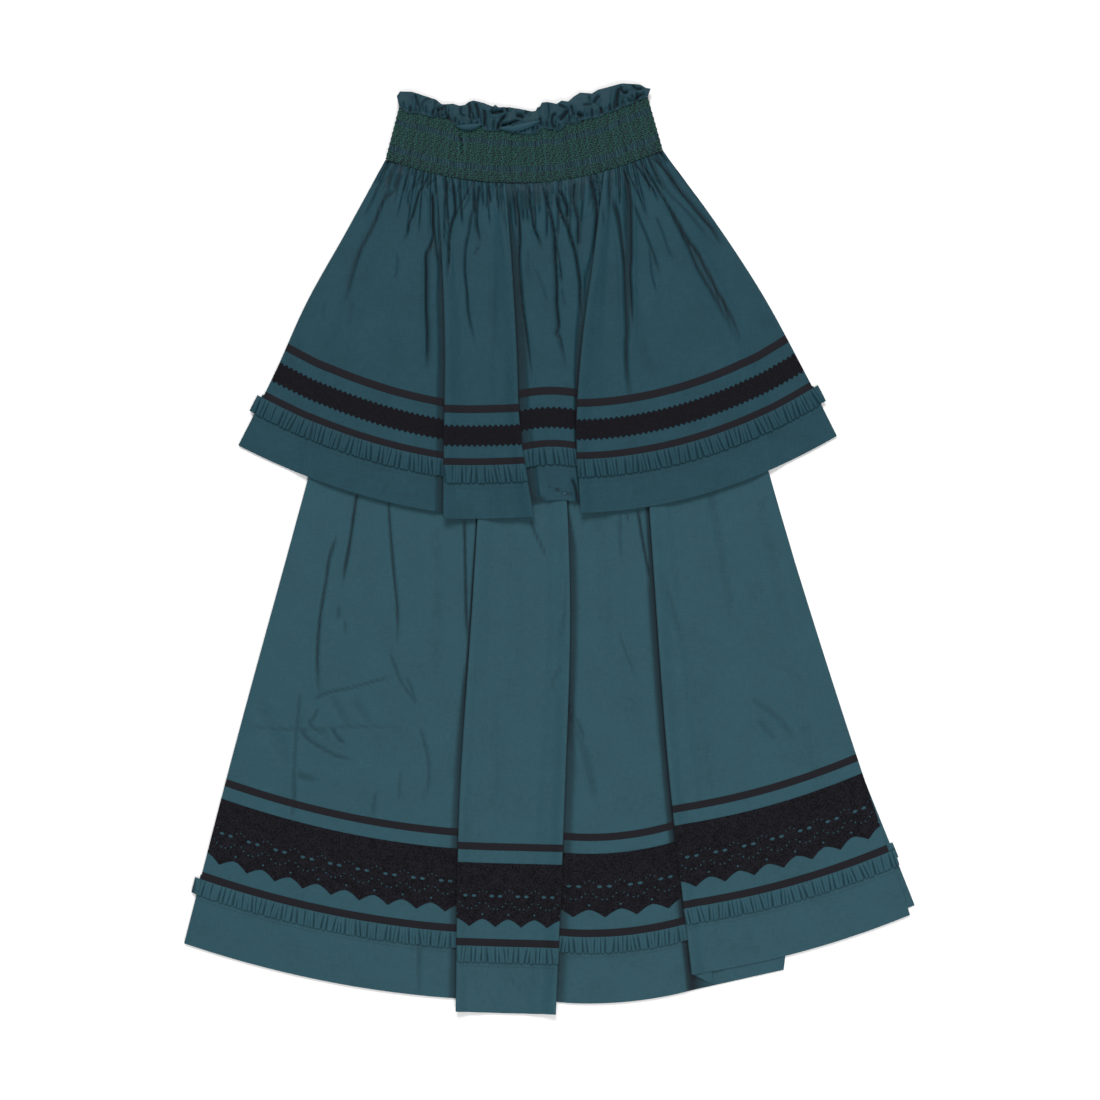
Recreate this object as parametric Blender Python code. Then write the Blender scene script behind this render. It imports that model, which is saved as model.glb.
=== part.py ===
"""A two-tier maxi skirt with a smocked waistband, laid flat with its front up.

Sizes are in millimetres until a mesh is made. X runs across the skirt, Y from the hem to the waist and Z up from
the surface that the skirt lies on. Each cloth piece is a thin closed wall. The back pieces lie on the surface, the
front pieces lie on them, and each tier's front has three knife folds whose layers stack.
"""
import math

import bpy
import numpy as np

MM = 0.001

# Middle of the skirt's outline in the axes of the tables below, which becomes the origin
CENTRE = np.array([0.5, 0.87, 0.0])

# Cloth walls and the way that they stack
WALL = 1.0
GAP = 0.3
TRIM_GAP = 0.35
LAYER = WALL + 0.35
TURN = LAYER / 2
CLEAR = 1.1
LONGEST_MITRE = 1.43
SHARP_ANGLE = math.radians(48)

# Heights of the middle of each wall above the surface
FLOOR_Z = WALL / 2
OVER_BACK_Z = FLOOR_Z + WALL + GAP
UPPER_FRONT_Z = OVER_BACK_Z + (WALL + GAP) + 2 * LAYER + (WALL + GAP)

# Waistband: both edges are shallow curves, lowest a little left of the middle
BAND_BOTTOM = {"left": -172.0, "right": 120.0, "low_x": -37.0, "low_y": 384.0, "bend": 0.00143}
BAND_TOP = {"left": -158.0, "right": 104.0, "low_x": -39.0, "low_y": 436.0, "bend": 0.00178}
BAND_BACK_THICK = 3.6
BAND_BACK_SPANS = 24
BAND_INSIDE_Z = BAND_BACK_THICK + GAP
REEDS = 48
REED_CREST_Z = 7.7
REED_VALLEY_Z = 6.3
STITCHED_CREST_Z = 7.3
STITCHED_VALLEY_Z = 6.6
REED_SWAY = 0.22

# Rows of the smocking, as shares of the band's height down from its top edge, and whether a row is stitched
SMOCKING_ROWS = (
    (0.00, False),
    (0.08, True),
    (0.17, False),
    (0.32, False),
    (0.42, True),
    (0.51, True),
    (0.60, True),
    (0.70, False),
    (0.86, False),
    (0.93, True),
    (1.00, False),
)

# Ruffle waves: place of the crest, height above the waistband, lift of the crest above the base
RUFFLE_BASE_Z = 5.6
RUFFLE_DIP = 1.8
RUFFLE_FLARE = 0.01
RUFFLE_END_SHARE = 0.8
RUFFLE_NOTCH = 3.0
# Rows of the ruffle from its free edge down: share of its height, and share of each wave's lift
RUFFLE_ROWS = ((1.0, 1.0), (0.45, 0.6), (0.0, 0.25))
RUFFLE_WAVES = (
    (-150.0, 22.0, 2.5),
    (-132.0, 26.0, 3.6),
    (-115.0, 23.0, 2.0),
    (-98.0, 26.0, 3.5),
    (-80.0, 32.0, 2.4),
    (-62.0, 31.0, 4.0),
    (-44.0, 29.0, 2.6),
    (-26.0, 24.0, 3.4),
    (-7.0, 31.0, 2.5),
    (12.0, 29.0, 4.0),
    (30.0, 34.0, 2.6),
    (49.0, 32.0, 3.5),
    (66.0, 31.0, 3.0),
    (83.0, 28.0, 4.0),
    (97.0, 20.0, 2.5),
)
BACK_RUFFLE = {"base_z": FLOOR_Z + 0.05, "height_share": 0.86, "lift_share": 0.5, "shift": 6.0}

# Lines that run down each tier: x at the waist, at a quarter, half and three quarters of the way down and at the
# hem, and the hem's y. An edge is the outside of a knife fold and shows. An under line is its hidden inner turn.
UPPER_LINES = {
    "seam_left": (-172, -213, -255, -289, -327, 109),
    "under_1": (-114, -108, -100, -94, -91, 36),
    "edge_1": (-118, -112, -109, -110, -111, 32),
    "edge_2": (-46, -39, -34, -30, -16, 34),
    "under_2": (-50, -51, -52, -51, -43, 39),
    "under_3": (62, 54, 47, 47, 54, 42),
    "edge_3": (58, 47, 35, 29, 33, 38),
    "seam_right": (120, 175, 224, 265, 303, 119),
}
LOWER_LINES = {
    "seam_left": (-162, -219, -275, -331, -384, -415),
    "under_1": (-60, -62, -70, -80, -79, -474),
    "edge_1": (-64, -68, -80, -94, -98, -486),
    "edge_2": (-4, 12, 22, 16, 7, -489),
    "under_2": (-8, 5, 9, 0, -10, -475),
    "under_3": (84, 104, 125, 146, 173, -458),
    "edge_3": (80, 96, 110, 126, 150, -447),
    "seam_right": (111, 191, 250, 313, 380, -385),
}
LOWER_BACK_LINES = {
    "seam_left": (-160, -217, -273, -329, -381, -411),
    "middle": (-51, -51, -51, -51, -51, -463),
    "fold": (54, 85, 106, 125, 148, -465),
    "step_out": (98, 138, 174, 209, 247, -443),
    "step_in": (99, 140, 176, 211, 249, -427),
    "seam_right": (112, 190, 249, 308, 385, -375),
}

# How far each stretch of a hem hangs below the straight line between its ends, less than zero where it lifts
UPPER_SAG = {"left": 12.0, "centre": 1.0, "recess": -11.0, "right": 19.0}
LOWER_SAG = {"left": 11.0, "centre": 1.0, "recess": 10.0, "right": 8.0}

# Gathers of the upper tier: how many in each stretch, the tallest, and how far down the longest of them runs
UPPER_GATHERS = {"left": 5, "centre": 6, "recess": 13, "right": 5}
GATHERING = {"height": 2.2, "start": 0.0, "reach": 0.62}
# Soft folds of the lower tier, which start below the upper tier's hem
LOWER_GATHERS = {"left": 4, "centre": 1, "recess": 2, "right": 3}
SOFT_FOLDS = {"height": 1.2, "start": 0.36, "reach": 0.72}
FADE_IN = 0.08
# The smallest gather against the tallest, and the shortest against the longest
LEAST_HEIGHT = 0.55
LEAST_REACH = 0.4

# A panel stays on top of a fold's hidden layers for PLATEAU past them and then comes down over RELAX, which
# grows from the waist to the hem
PLATEAU = 2.0
RELAX = np.linspace(5.0, 14.0, 5)

# Sides of the upper tier's front, which comes down past the edge of the lower tier to lie on the back. The foot
# and the shoulder are outside that edge and the top is inside it.
SIDE_FOOT = 24.0
SIDE_SHOULDER = 3.0
# Most of the room outside that edge that each may take where the room is narrow
FOOT_SHARE = 0.7
SHOULDER_SHARE = 0.3
SIDE_TOP = np.linspace(10.0, 25.0, 5)

# Hem of the upper tier's back: lowest point and how fast it climbs to the sides
BACK_HEM = {"low_x": -23.0, "low_y": 54.0, "bend": 0.000634}
STEP_START = 2.0
STEP_LENGTH = 12.0
BACK_INSET = np.array([0.0, 1.0, 2.0, 2.0, 3.0])
UPPER_BACK_SPANS = 16
# Widest spans between the columns of the lower tier's back, at the hem and at the waist
LOWER_BACK_SPANS = (60.0, 16.0)

# Rows down each panel, as shares of the way from waist to hem
UPPER_ROWS = (0.0, 0.06, 0.16, 0.28, 0.42, 0.62, 0.82, 1.0)
UPPER_BACK_ROWS = (0.0, 0.5, 1.0)
LOWER_ROWS_PAST_STEP = (0.22, 0.45, 0.72, 1.0)

# Trims: distances up from the hem along the cloth
UPPER_TRIMS = {"ribbon_top": (111.3, 119.2), "ribbon_low": (55.6, 63.4), "frill": (37.8, 55.3)}
LOWER_TRIMS = {"ribbon_top": (171.2, 178.6), "ribbon_low": (69.3, 77.7), "frill": (54.6, 69.0)}
BRAID = {"low": 75.6, "high": 98.7, "tooth": 2.6, "pitch": 5.8}
FRILL_PITCH = 12.6
FRILL_WAVE = 1.5
FRILL_HEAD_WAVE = 0.4
FRILL_OVERHANG = 6.0

# Lace: a scalloped strip with a pair of leaf-shaped eyelets over each point
LACE_TOP = 157.5
LACE_VALLEY = 98.7
LACE_TIP = 90.3
LACE_PITCH = 29.0
EYELET_ROW = 122.9
EYELET_HALF_HEIGHT = 1.7
EYELET_HALF_WIDTH = 2.8
EYELET_PLACES = (0.338, 0.662)
# The scallop's blunt tip starts this far from its valley, as a share of half a repeat
TIP_STARTS = 0.86
# Row of the lace grid through the eyelets, and columns of one repeat that are an eyelet's middle
EYELET_GRID_ROW = 2
EYELET_GRID_COLUMNS = (2, 5)

STRETCHES = ("left", "centre", "recess", "right")
STRETCH_ENDS = {
    "left": ("seam_left", "under_1"),
    "centre": ("edge_1", "edge_2"),
    "recess": ("under_2", "under_3"),
    "right": ("edge_3", "seam_right"),
}

# Colours as linear red, green and blue, with roughness
CLOTH_UPPER = ((0.0232, 0.0666, 0.0887), 0.62)
CLOTH_LOWER = ((0.0369, 0.0953, 0.1195), 0.6)
SMOCKED = ((0.0185, 0.0513, 0.0513), 0.8)
RIBBON = ((0.0203, 0.0194, 0.0252), 0.75)
LACE = ((0.0123, 0.0119, 0.0160), 0.9)


def remove_everything():
    for thing in list(bpy.data.objects):
        bpy.data.objects.remove(thing)


def material(name, look):
    colour, roughness = look
    made = bpy.data.materials.get(name)
    if made is None:
        made = bpy.data.materials.new(name)
        made.use_nodes = True
        shader = made.node_tree.nodes["Principled BSDF"]
        shader.inputs["Base Color"].default_value = (*colour, 1.0)
        shader.inputs["Roughness"].default_value = roughness
        shader.inputs["Metallic"].default_value = 0.0
    return made


# Curves and lines

def curve_y(curve, x):
    return curve["low_y"] + curve["bend"] * (x - curve["low_x"]) ** 2


def waist_y(x):
    return curve_y(BAND_BOTTOM, x) - GAP


def down_line(places, share):
    """X on a smooth line through five evenly spaced places, at a share of the way down."""
    places = np.asarray(places, float)
    spans = len(places) - 1
    slopes = np.gradient(places)
    at = np.clip(np.asarray(share, float) * spans, 0, spans)
    first = np.minimum(at.astype(int), spans - 1)
    t = at - first
    start, end = places[first], places[first + 1]
    leave, arrive = slopes[first], slopes[first + 1]
    return (
        start * (1 + 2 * t) * (1 - t) ** 2
        + leave * t * (1 - t) ** 2
        + end * t * t * (3 - 2 * t)
        + arrive * t * t * (t - 1)
    )


class Column:
    """A line of points down a panel, with its height over the panel's rest height."""

    def __init__(self, places, hem, level=0.0, crest=0.0, start=0.0, reach=1.0, shows="", fixed=True):
        self.places = np.asarray(places, float)
        self.hem = hem
        self.level = level
        self.crest = crest
        self.start = start
        self.reach = reach
        self.shows = shows
        self.fixed = fixed

    def lay(self, rows, rest):
        """Works out the column's points at the panel's rows, which are shares of the way down."""
        rows = np.asarray(rows, float)
        top = waist_y(self.places[0])
        x = down_line(self.places, rows)
        y = top + (self.hem - top) * rows
        fold = np.clip((self.reach - rows) / (self.reach - self.start), 0, 1)
        if self.start:
            fold = fold * np.clip((rows - self.start) / FADE_IN, 0, 1)
        z = rest(x, y) + self.level + self.crest * fold
        self.rows = rows
        self.laid = np.stack([x, y, z])
        self.length = math.hypot(x[-1] - x[0], y[-1] - y[0])

    def up_from_hem(self, distance):
        """The point at a distance up from the hem, on the straight runs between the rows."""
        share = 1 - distance / self.length
        return [np.interp(share, self.rows, line) for line in self.laid]


def hem_between(first, last, sag):
    """The hem's y at a hem x, between two table rows."""

    def hem(x):
        t = (x - first[4]) / (last[4] - first[4])
        return first[5] + (last[5] - first[5]) * t - 4 * sag * t * (1 - t)

    return hem


def unevenness(index, offset=0.0):
    """A fixed share from 0 to 1 that differs from one gather to the next."""
    return 0.5 + 0.5 * math.sin(2.4 * index + offset) * math.cos(0.7 * index + 1.3 * offset)


def gathered(first, last, hem, count, folds, shows):
    """Columns between two lines, in turn a crest and a valley, with the end lines left out."""
    made = []
    for step in range(1, 2 * count):
        places = first + (last - first) * step / (2 * count)
        column = Column(places, hem(places[-1]), start=folds["start"], shows=shows, fixed=False)
        if step % 2:
            tall = LEAST_HEIGHT + (1 - LEAST_HEIGHT) * unevenness(step, len(shows))
            long = LEAST_REACH + (1 - LEAST_REACH) * unevenness(step, 2.0 + len(shows))
            column.crest = folds["height"] * tall
            column.reach = folds["start"] + (folds["reach"] - folds["start"]) * long
        made.append(column)
    return made


def along_line(line, hem, aside):
    """Places of a column that runs at a distance aside from a table line, measured at the same y."""
    places = np.asarray(line[:5], float) + aside
    top = waist_y(line[0])
    for _ in range(4):
        start = waist_y(places[0])
        y = start + (hem(places[-1]) - start) * np.linspace(0, 1, 5)
        places = down_line(line[:5], (y - top) / (line[5] - top)) + aside
    return places


def side_columns(lines, side, hem, shows):
    """Upper tier's side: seam and foot lie on the back, and the shoulder and top clear the lower tier."""
    outward = -1 if side == "seam_left" else 1
    seam = np.asarray(lines[side][:5], float)
    edge = LOWER_LINES[side]
    room = np.abs(along_line(edge, hem, 0) - seam)
    foot = along_line(edge, hem, outward * np.minimum(SIDE_FOOT, FOOT_SHARE * room))
    shoulder = along_line(edge, hem, outward * np.minimum(SIDE_SHOULDER, SHOULDER_SHARE * room))
    rise = along_line(edge, hem, -outward * SIDE_TOP)
    low = OVER_BACK_Z - UPPER_FRONT_Z
    over_edge = low + 2 * (WALL + GAP) + GAP
    columns = [
        Column(seam, hem(seam[-1]), level=low, shows=shows),
        Column(foot, hem(foot[-1]), level=low, shows=shows),
        Column(shoulder, hem(shoulder[-1]), level=over_edge, shows=shows),
        Column(rise, hem(rise[-1]), shows=shows),
    ]
    return columns if outward < 0 else columns[::-1]


def plain_side(lines, side, hem, shows):
    seam = np.asarray(lines[side][:5], float)
    return [Column(seam, hem(seam[-1]), shows=shows)]


def front_columns(lines, sags, gathers, folds, side_maker):
    """All columns of a tier's front from its left seam to its right one, through three knife folds."""
    line = {name: np.asarray(row[:5], float) for name, row in lines.items()}
    hem = {}
    for stretch, (first, last) in STRETCH_ENDS.items():
        hem[stretch] = hem_between(lines[first], lines[last], sags[stretch])

    def fill(stretch, first, last):
        return gathered(first, last, hem[stretch], gathers[stretch], folds, stretch)

    def flat(stretch, places, level=0.0, shows=True):
        return Column(places, hem[stretch](places[-1]), level, shows=stretch if shows else "")

    def beside(stretch, edge, distance):
        return flat(stretch, along_line(lines[edge], hem[stretch], distance))

    def layers(low_stretch, high_stretch, under, edge, toward):
        """The turns of a fold from its bottom layer up; toward is the side on which the edge lies."""
        low = lines[under][5]
        high = lines[edge][5]
        return [
            flat(low_stretch, line[under] + toward * TURN, shows=False),
            Column(line[under], low, TURN),
            Column(line[under] + toward * TURN, low, LAYER),
            Column(line[edge] - toward * TURN, high, LAYER),
            Column(line[edge], high, LAYER + TURN),
            flat(high_stretch, line[edge] - toward * TURN, 2 * LAYER),
            flat(high_stretch, line[under] - toward * PLATEAU, 2 * LAYER),
            flat(high_stretch, line[under] - toward * (PLATEAU + RELAX)),
        ]

    left_side = side_maker(lines, "seam_left", hem["left"], "left")
    right_side = side_maker(lines, "seam_right", hem["right"], "right")
    left_end = beside("left", "edge_1", -CLEAR)
    first_fold = layers("left", "centre", "under_1", "edge_1", -1)
    second_fold = layers("recess", "centre", "under_2", "edge_2", 1)[::-1]
    recess_start = beside("recess", "edge_2", CLEAR)
    recess_end = beside("recess", "edge_3", -CLEAR)
    third_fold = layers("recess", "right", "under_3", "edge_3", -1)
    columns = list(left_side)
    columns += fill("left", left_side[-1].places, left_end.places)
    columns.append(left_end)
    columns += first_fold
    columns += fill("centre", first_fold[-1].places, second_fold[0].places)
    columns += second_fold
    columns.append(recess_start)
    columns += fill("recess", recess_start.places, recess_end.places)
    columns.append(recess_end)
    columns += third_fold
    columns += fill("right", third_fold[-1].places, right_side[0].places)
    columns += right_side
    return columns


# Heights on which the panels rest

def back_hem_y(x):
    return curve_y(BACK_HEM, x)


def ground(x, y):
    """Middle of the lower tier's back: over the upper tier's back, then down a step to the surface."""
    t = np.clip((y - back_hem_y(x) + STEP_START + STEP_LENGTH) / STEP_LENGTH, 0, 1)
    return FLOOR_Z + (OVER_BACK_Z - FLOOR_Z) * t


def rest_floor(x, y):
    return FLOOR_Z + 0 * x


def rest_lower_front(x, y):
    return ground(x, y) + WALL + GAP


def rest_upper_front(x, y):
    return UPPER_FRONT_Z + 0 * x


def rows_over_step(column):
    """Shares of the way down a lower tier column, with rows at the top and foot of the step."""
    top = waist_y(column.places[0])
    share = 0.4
    for _ in range(4):
        x = float(down_line(column.places, share))
        share = (top - (back_hem_y(x) - STEP_START)) / (top - column.hem)
    foot = share + STEP_LENGTH / (top - column.hem)
    past = [foot + (1 - foot) * part for part in LOWER_ROWS_PAST_STEP]
    return np.array([0.0, share / 2, share, foot, *past])


# Solids

def grid_faces(rows, columns):
    faces = []
    for row in range(rows - 1):
        for column in range(columns - 1):
            here = row * columns + column
            faces.append((here, here + columns, here + columns + 1, here + 1))
    return faces


def closed_mesh(top, bottom, faces):
    """Vertices and faces of a solid between two sheets that share their faces, with walls on every free edge."""
    count = len(top)
    vertices = np.concatenate([top, bottom])
    made = list(faces)
    made += [tuple(count + v for v in reversed(face)) for face in faces]
    edges = set()
    for face in faces:
        for index, start in enumerate(face):
            edges.add((start, face[(index + 1) % len(face)]))
    for start, end in sorted(edges):
        if (end, start) not in edges:
            made.append((end, start, count + start, count + end))
    return vertices, made


def add_solid(name, vertices, faces, look_name, look):
    mesh = bpy.data.meshes.new(name)
    placed = (np.asarray(vertices) - CENTRE) * MM
    mesh.from_pydata(placed.tolist(), [], faces)
    mesh.validate()
    mesh.shade_smooth()
    mesh.set_sharp_from_angle(angle=SHARP_ANGLE)
    mesh.materials.append(material(look_name, look))
    solid = bpy.data.objects.new(name, mesh)
    bpy.context.collection.objects.link(solid)
    return solid


def section_normals(x, z):
    """Unit normals across a section line, stretched at bends so that the wall keeps its thickness."""
    along = np.stack([np.diff(x), np.diff(z)], axis=1)
    along /= np.linalg.norm(along, axis=1, keepdims=True)
    side = np.stack([-along[:, 1], along[:, 0]], axis=1)
    before = np.vstack([side[:1], side])
    after = np.vstack([side, side[-1:]])
    middle = before + after
    middle /= np.linalg.norm(middle, axis=1, keepdims=True)
    stretch = 1 / np.clip(np.sum(middle * after, axis=1), 1 / LONGEST_MITRE, 1)
    return middle * stretch[:, None]


def offset_rows(x, y, z, distance):
    """Grid points moved by a distance along each row's section normals."""
    moved = []
    for row in range(x.shape[0]):
        normal = section_normals(x[row], z[row])
        across_x = x[row] + distance * normal[:, 0]
        across_z = z[row] + distance * normal[:, 1]
        moved.append(np.stack([across_x, y[row], across_z], axis=1))
    return np.concatenate(moved)


def wall(name, x, y, z, look_name, look):
    """A cloth wall round a grid of middle points."""
    top = offset_rows(x, y, z, WALL / 2)
    bottom = offset_rows(x, y, z, -WALL / 2)
    vertices, faces = closed_mesh(top, bottom, grid_faces(*x.shape))
    return add_solid(name, vertices, faces, look_name, look)


def panel(name, columns, rest, rows, look_name, look):
    """A panel's wall; rows gives the shares of the way down for a column."""
    for column in columns:
        column.lay(rows(column), rest)
    x, y, z = (np.stack([column.laid[axis] for column in columns], axis=1) for axis in range(3))
    return wall(name, x, y, z, look_name, look)


# Trims

def across(columns, stretch, distance):
    """Panel points at a distance up from the hem, over the columns of one stretch that shows."""
    return np.array([column.up_from_hem(distance) for column in columns if column.shows == stretch])


def on_panel(columns, stretch, distance, shares, overhang=(0.0, 0.0)):
    """Points at shares of the way across a stretch, with straight ends beyond its seam."""
    x, y, z = across(columns, stretch, distance).T
    start = x[0] - overhang[0]
    end = x[-1] + overhang[1]
    if overhang[0]:
        slope = (y[1] - y[0]) / (x[1] - x[0])
        x, y, z = np.r_[start, x], np.r_[y[0] - slope * overhang[0], y], np.r_[z[0], z]
    if overhang[1]:
        slope = (y[-1] - y[-2]) / (x[-1] - x[-2])
        x, y, z = np.r_[x, end], np.r_[y, y[-1] + slope * overhang[1]], np.r_[z, z[-1]]
    at = start + (end - start) * np.asarray(shares, float)
    return at, np.interp(at, x, y), np.interp(at, x, z) + WALL + TRIM_GAP


def stack(points):
    x, y, z = (np.stack([row[axis] for row in points]) for axis in range(3))
    return x, y, z


def stretch_width(columns, stretch, distance):
    x = across(columns, stretch, distance)[:, 0]
    return x[-1] - x[0]


def ribbon(name, columns, stretch, limits):
    """A plain strip with a point at each fixed line of the panel and at every third gather line."""
    shown = [column for column in columns if column.shows == stretch]
    kept = [index for index, column in enumerate(shown) if column.fixed or index % 3 == 0]
    rows = []
    for distance in limits[::-1]:
        x, y, z = across(columns, stretch, distance)[kept].T
        rows.append((x, y, z + WALL + TRIM_GAP))
    x, y, z = stack(rows)
    wall(name, x, y, z, "ribbon", RIBBON)


def frill(name, columns, stretch, limits, look_name, look):
    """A strip of pleats, gathered at its head and wavy at its free edge, that stands past the side seams."""
    low, high = limits
    over = (FRILL_OVERHANG if stretch == "left" else 0.0, FRILL_OVERHANG if stretch == "right" else 0.0)
    width = stretch_width(columns, stretch, low) + sum(over)
    count = max(2, round(width / FRILL_PITCH))
    shares = np.linspace(0, 1, 2 * count + 1)
    wave = np.arange(2 * count + 1) % 2
    rows = []
    for distance, lift in ((high, FRILL_HEAD_WAVE), (low, FRILL_WAVE)):
        x, y, z = on_panel(columns, stretch, distance, shares, over)
        rows.append((x, y, z + lift * wave))
    x, y, z = stack(rows)
    wall(name, x, y, z, look_name, look)


def braid(name, columns, stretch):
    """A strip with pinked edges."""
    middle = (BRAID["low"] + BRAID["high"]) / 2
    count = max(2, round(stretch_width(columns, stretch, middle) / BRAID["pitch"]))
    shares = np.linspace(0, 1, 2 * count + 1)
    tooth = np.arange(2 * count + 1) % 2
    rows = []
    for distance, reach in ((BRAID["high"], BRAID["tooth"]), (BRAID["low"], -BRAID["tooth"])):
        inner = on_panel(columns, stretch, distance - reach, shares)
        outer = on_panel(columns, stretch, distance, shares)
        rows.append([np.where(tooth, o, i) for i, o in zip(inner, outer)])
    x, y, z = stack(rows)
    wall(name, x, y, z, "braid", LACE)


def lace(name, columns, stretch):
    """A scalloped strip with a pair of eyelets cut through above each point."""
    width = stretch_width(columns, stretch, EYELET_ROW)
    repeats = max(1, round(width / LACE_PITCH))
    half = EYELET_HALF_WIDTH / LACE_PITCH
    steps = [0.0]
    for place in EYELET_PLACES:
        steps += [place - half, place, place + half]
    shares = [(repeat + step) / repeats for repeat in range(repeats) for step in steps] + [1.0]
    points = [min(1.0, (1 - 2 * abs(step - 0.5)) / TIP_STARTS) for step in steps]
    drop = np.array(points * repeats + [0.0]) * (LACE_VALLEY - LACE_TIP)
    shares = np.array(shares)
    rows = []
    heights = (LACE_TOP, EYELET_ROW + EYELET_HALF_HEIGHT, EYELET_ROW, EYELET_ROW - EYELET_HALF_HEIGHT)
    for distance in heights:
        rows.append(on_panel(columns, stretch, distance, shares))
    edge = [on_panel(columns, stretch, LACE_VALLEY - fall, share) for fall, share in zip(drop, shares)]
    rows.append(tuple(np.array([point[axis] for point in edge]) for axis in range(3)))
    x, y, z = stack(rows)
    row_count, column_count = x.shape
    middles = [index for index in range(column_count) if index % len(steps) in EYELET_GRID_COLUMNS]
    centres = {(EYELET_GRID_ROW, index) for index in middles}
    faces = []
    for a, b, c, d in grid_faces(row_count, column_count):
        inside = [v for v in (a, b, c, d) if divmod(v, column_count) in centres]
        if not inside:
            faces.append((a, b, c, d))
            continue
        loop = [a, b, c, d]
        at = loop.index(inside[0])
        faces.append((loop[(at + 1) % 4], loop[(at + 2) % 4], loop[(at + 3) % 4]))
    top = offset_rows(x, y, z, WALL / 2)
    bottom = offset_rows(x, y, z, -WALL / 2)
    centre_rows = [row * column_count + column for row, column in centres]
    keep = np.setdiff1d(np.arange(len(top)), centre_rows)
    renumber = {int(old): new for new, old in enumerate(keep)}
    faces = [tuple(renumber[v] for v in face) for face in faces]
    vertices, faces = closed_mesh(top[keep], bottom[keep], faces)
    add_solid(name, vertices, faces, "lace", LACE)


# Waistband and ruffle

def band_point(across_share, down_share):
    """X and y on the waistband, from its top edge down."""
    top_x = BAND_TOP["left"] + (BAND_TOP["right"] - BAND_TOP["left"]) * across_share
    low_x = BAND_BOTTOM["left"] + (BAND_BOTTOM["right"] - BAND_BOTTOM["left"]) * across_share
    x = top_x + (low_x - top_x) * down_share
    top_y = curve_y(BAND_TOP, top_x)
    return x, top_y + (curve_y(BAND_BOTTOM, low_x) - top_y) * down_share


def waistband_front():
    """Reeds of gathered cloth, drawn side to side where they are stitched, over a plain inside."""
    count = 2 * REEDS + 1
    places = np.arange(count)
    crests = places % 2
    inner = (places > 0) & (places < count - 1)
    grid = []
    for row, (down, stitched) in enumerate(SMOCKING_ROWS):
        sway = np.zeros(count)
        if stitched:
            turn = np.where((places // 2 + row) % 2, 1.0, -1.0)
            sway = REED_SWAY * turn * inner
        x, y = band_point((places + sway) / (count - 1), down)
        crest_z = STITCHED_CREST_Z if stitched else REED_CREST_Z
        valley_z = STITCHED_VALLEY_Z if stitched else REED_VALLEY_Z
        grid.append(np.stack([x, y, np.where(crests, crest_z, valley_z)], axis=1))
    rows = len(grid)
    outer = np.concatenate(grid)
    lining = []
    for down in (0.0, 1.0):
        x, y = band_point(places / (count - 1), down)
        lining.append(np.stack([x, y, np.full(count, BAND_INSIDE_Z)], axis=1))
    vertices = np.concatenate([outer, *lining])
    top_row = rows * count
    low_row = top_row + count
    last = (rows - 1) * count
    faces = grid_faces(rows, count)
    for c in range(count - 1):
        faces.append((top_row + c + 1, low_row + c + 1, low_row + c, top_row + c))
        faces.append((c, c + 1, top_row + c + 1, top_row + c))
        faces.append((last + c + 1, last + c, low_row + c, low_row + c + 1))
    left = [row * count for row in range(rows)]
    right = [row * count + count - 1 for row in range(rows)]
    faces.append(tuple([top_row, low_row] + left[::-1]))
    faces.append(tuple([low_row + count - 1, top_row + count - 1] + right))
    add_solid("waistband_front", vertices, faces, "smocked_cloth", SMOCKED)


def waistband_back():
    shares = np.linspace(0, 1, BAND_BACK_SPANS + 1)
    rows = [band_point(shares, down) for down in (0.0, 1.0)]
    x = np.stack([row[0] for row in rows])
    y = np.stack([row[1] for row in rows])
    flat = np.stack([x.ravel(), y.ravel()], axis=1)
    top = np.column_stack([flat, np.full(len(flat), BAND_BACK_THICK)])
    bottom = np.column_stack([flat, np.zeros(len(flat))])
    vertices, faces = closed_mesh(top, bottom, grid_faces(*x.shape))
    add_solid("waistband_back", vertices, faces, "smocked_cloth", SMOCKED)


def ruffle(name, base_z, dip, height_share=1.0, lift_share=1.0, shift=0.0):
    """A frill above the waistband, a crest and a valley for each wave."""
    first_x, last_x = BAND_TOP["left"], BAND_TOP["right"]
    crests = [(x + shift, height * height_share, lift * lift_share) for x, height, lift in RUFFLE_WAVES]
    points = [(first_x, crests[0][1] * RUFFLE_END_SHARE, 0.0)]
    for here, after in zip(crests, crests[1:] + [None]):
        points.append(here)
        if after:
            notch = (here[1] + after[1]) / 2 - RUFFLE_NOTCH
            points.append(((here[0] + after[0]) / 2, notch, -dip))
    points.append((last_x, crests[-1][1] * RUFFLE_END_SHARE, 0.0))
    x, height, lift = np.array(points).T
    foot = curve_y(BAND_TOP, x) + GAP
    middle = (first_x + last_x) / 2
    rows = []
    for up, wave in RUFFLE_ROWS:
        spread = middle + (x - middle) * (1 + RUFFLE_FLARE * up)
        rows.append((spread, foot + height * up, base_z + lift * wave))
    gx, gy, gz = stack(rows)
    wall(name, gx, gy, gz, "upper_cloth", CLOTH_UPPER)


# Back panels

def upper_back_columns():
    """Columns of a plain panel that lies a little inside the front's seams."""
    left = np.array(UPPER_LINES["seam_left"][:5]) + BACK_INSET
    right = np.array(UPPER_LINES["seam_right"][:5]) - BACK_INSET
    columns = []
    for share in np.linspace(0, 1, UPPER_BACK_SPANS + 1):
        places = left * (1 - share) + right * share
        columns.append(Column(places, back_hem_y(places[-1])))
    return columns


def lower_back_columns():
    rows = list(LOWER_BACK_LINES.values())
    columns = [Column(rows[0][:5], rows[0][5])]
    for before, after in zip(rows, rows[1:]):
        spans = ((after[4] - before[4]) / LOWER_BACK_SPANS[0], (after[0] - before[0]) / LOWER_BACK_SPANS[1])
        parts = max(1, round(max(spans)))
        for step in range(1, parts + 1):
            share = step / parts
            places = np.array(before[:5]) * (1 - share) + np.array(after[:5]) * share
            columns.append(Column(places, before[5] + (after[5] - before[5]) * share))
    return columns


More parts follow.
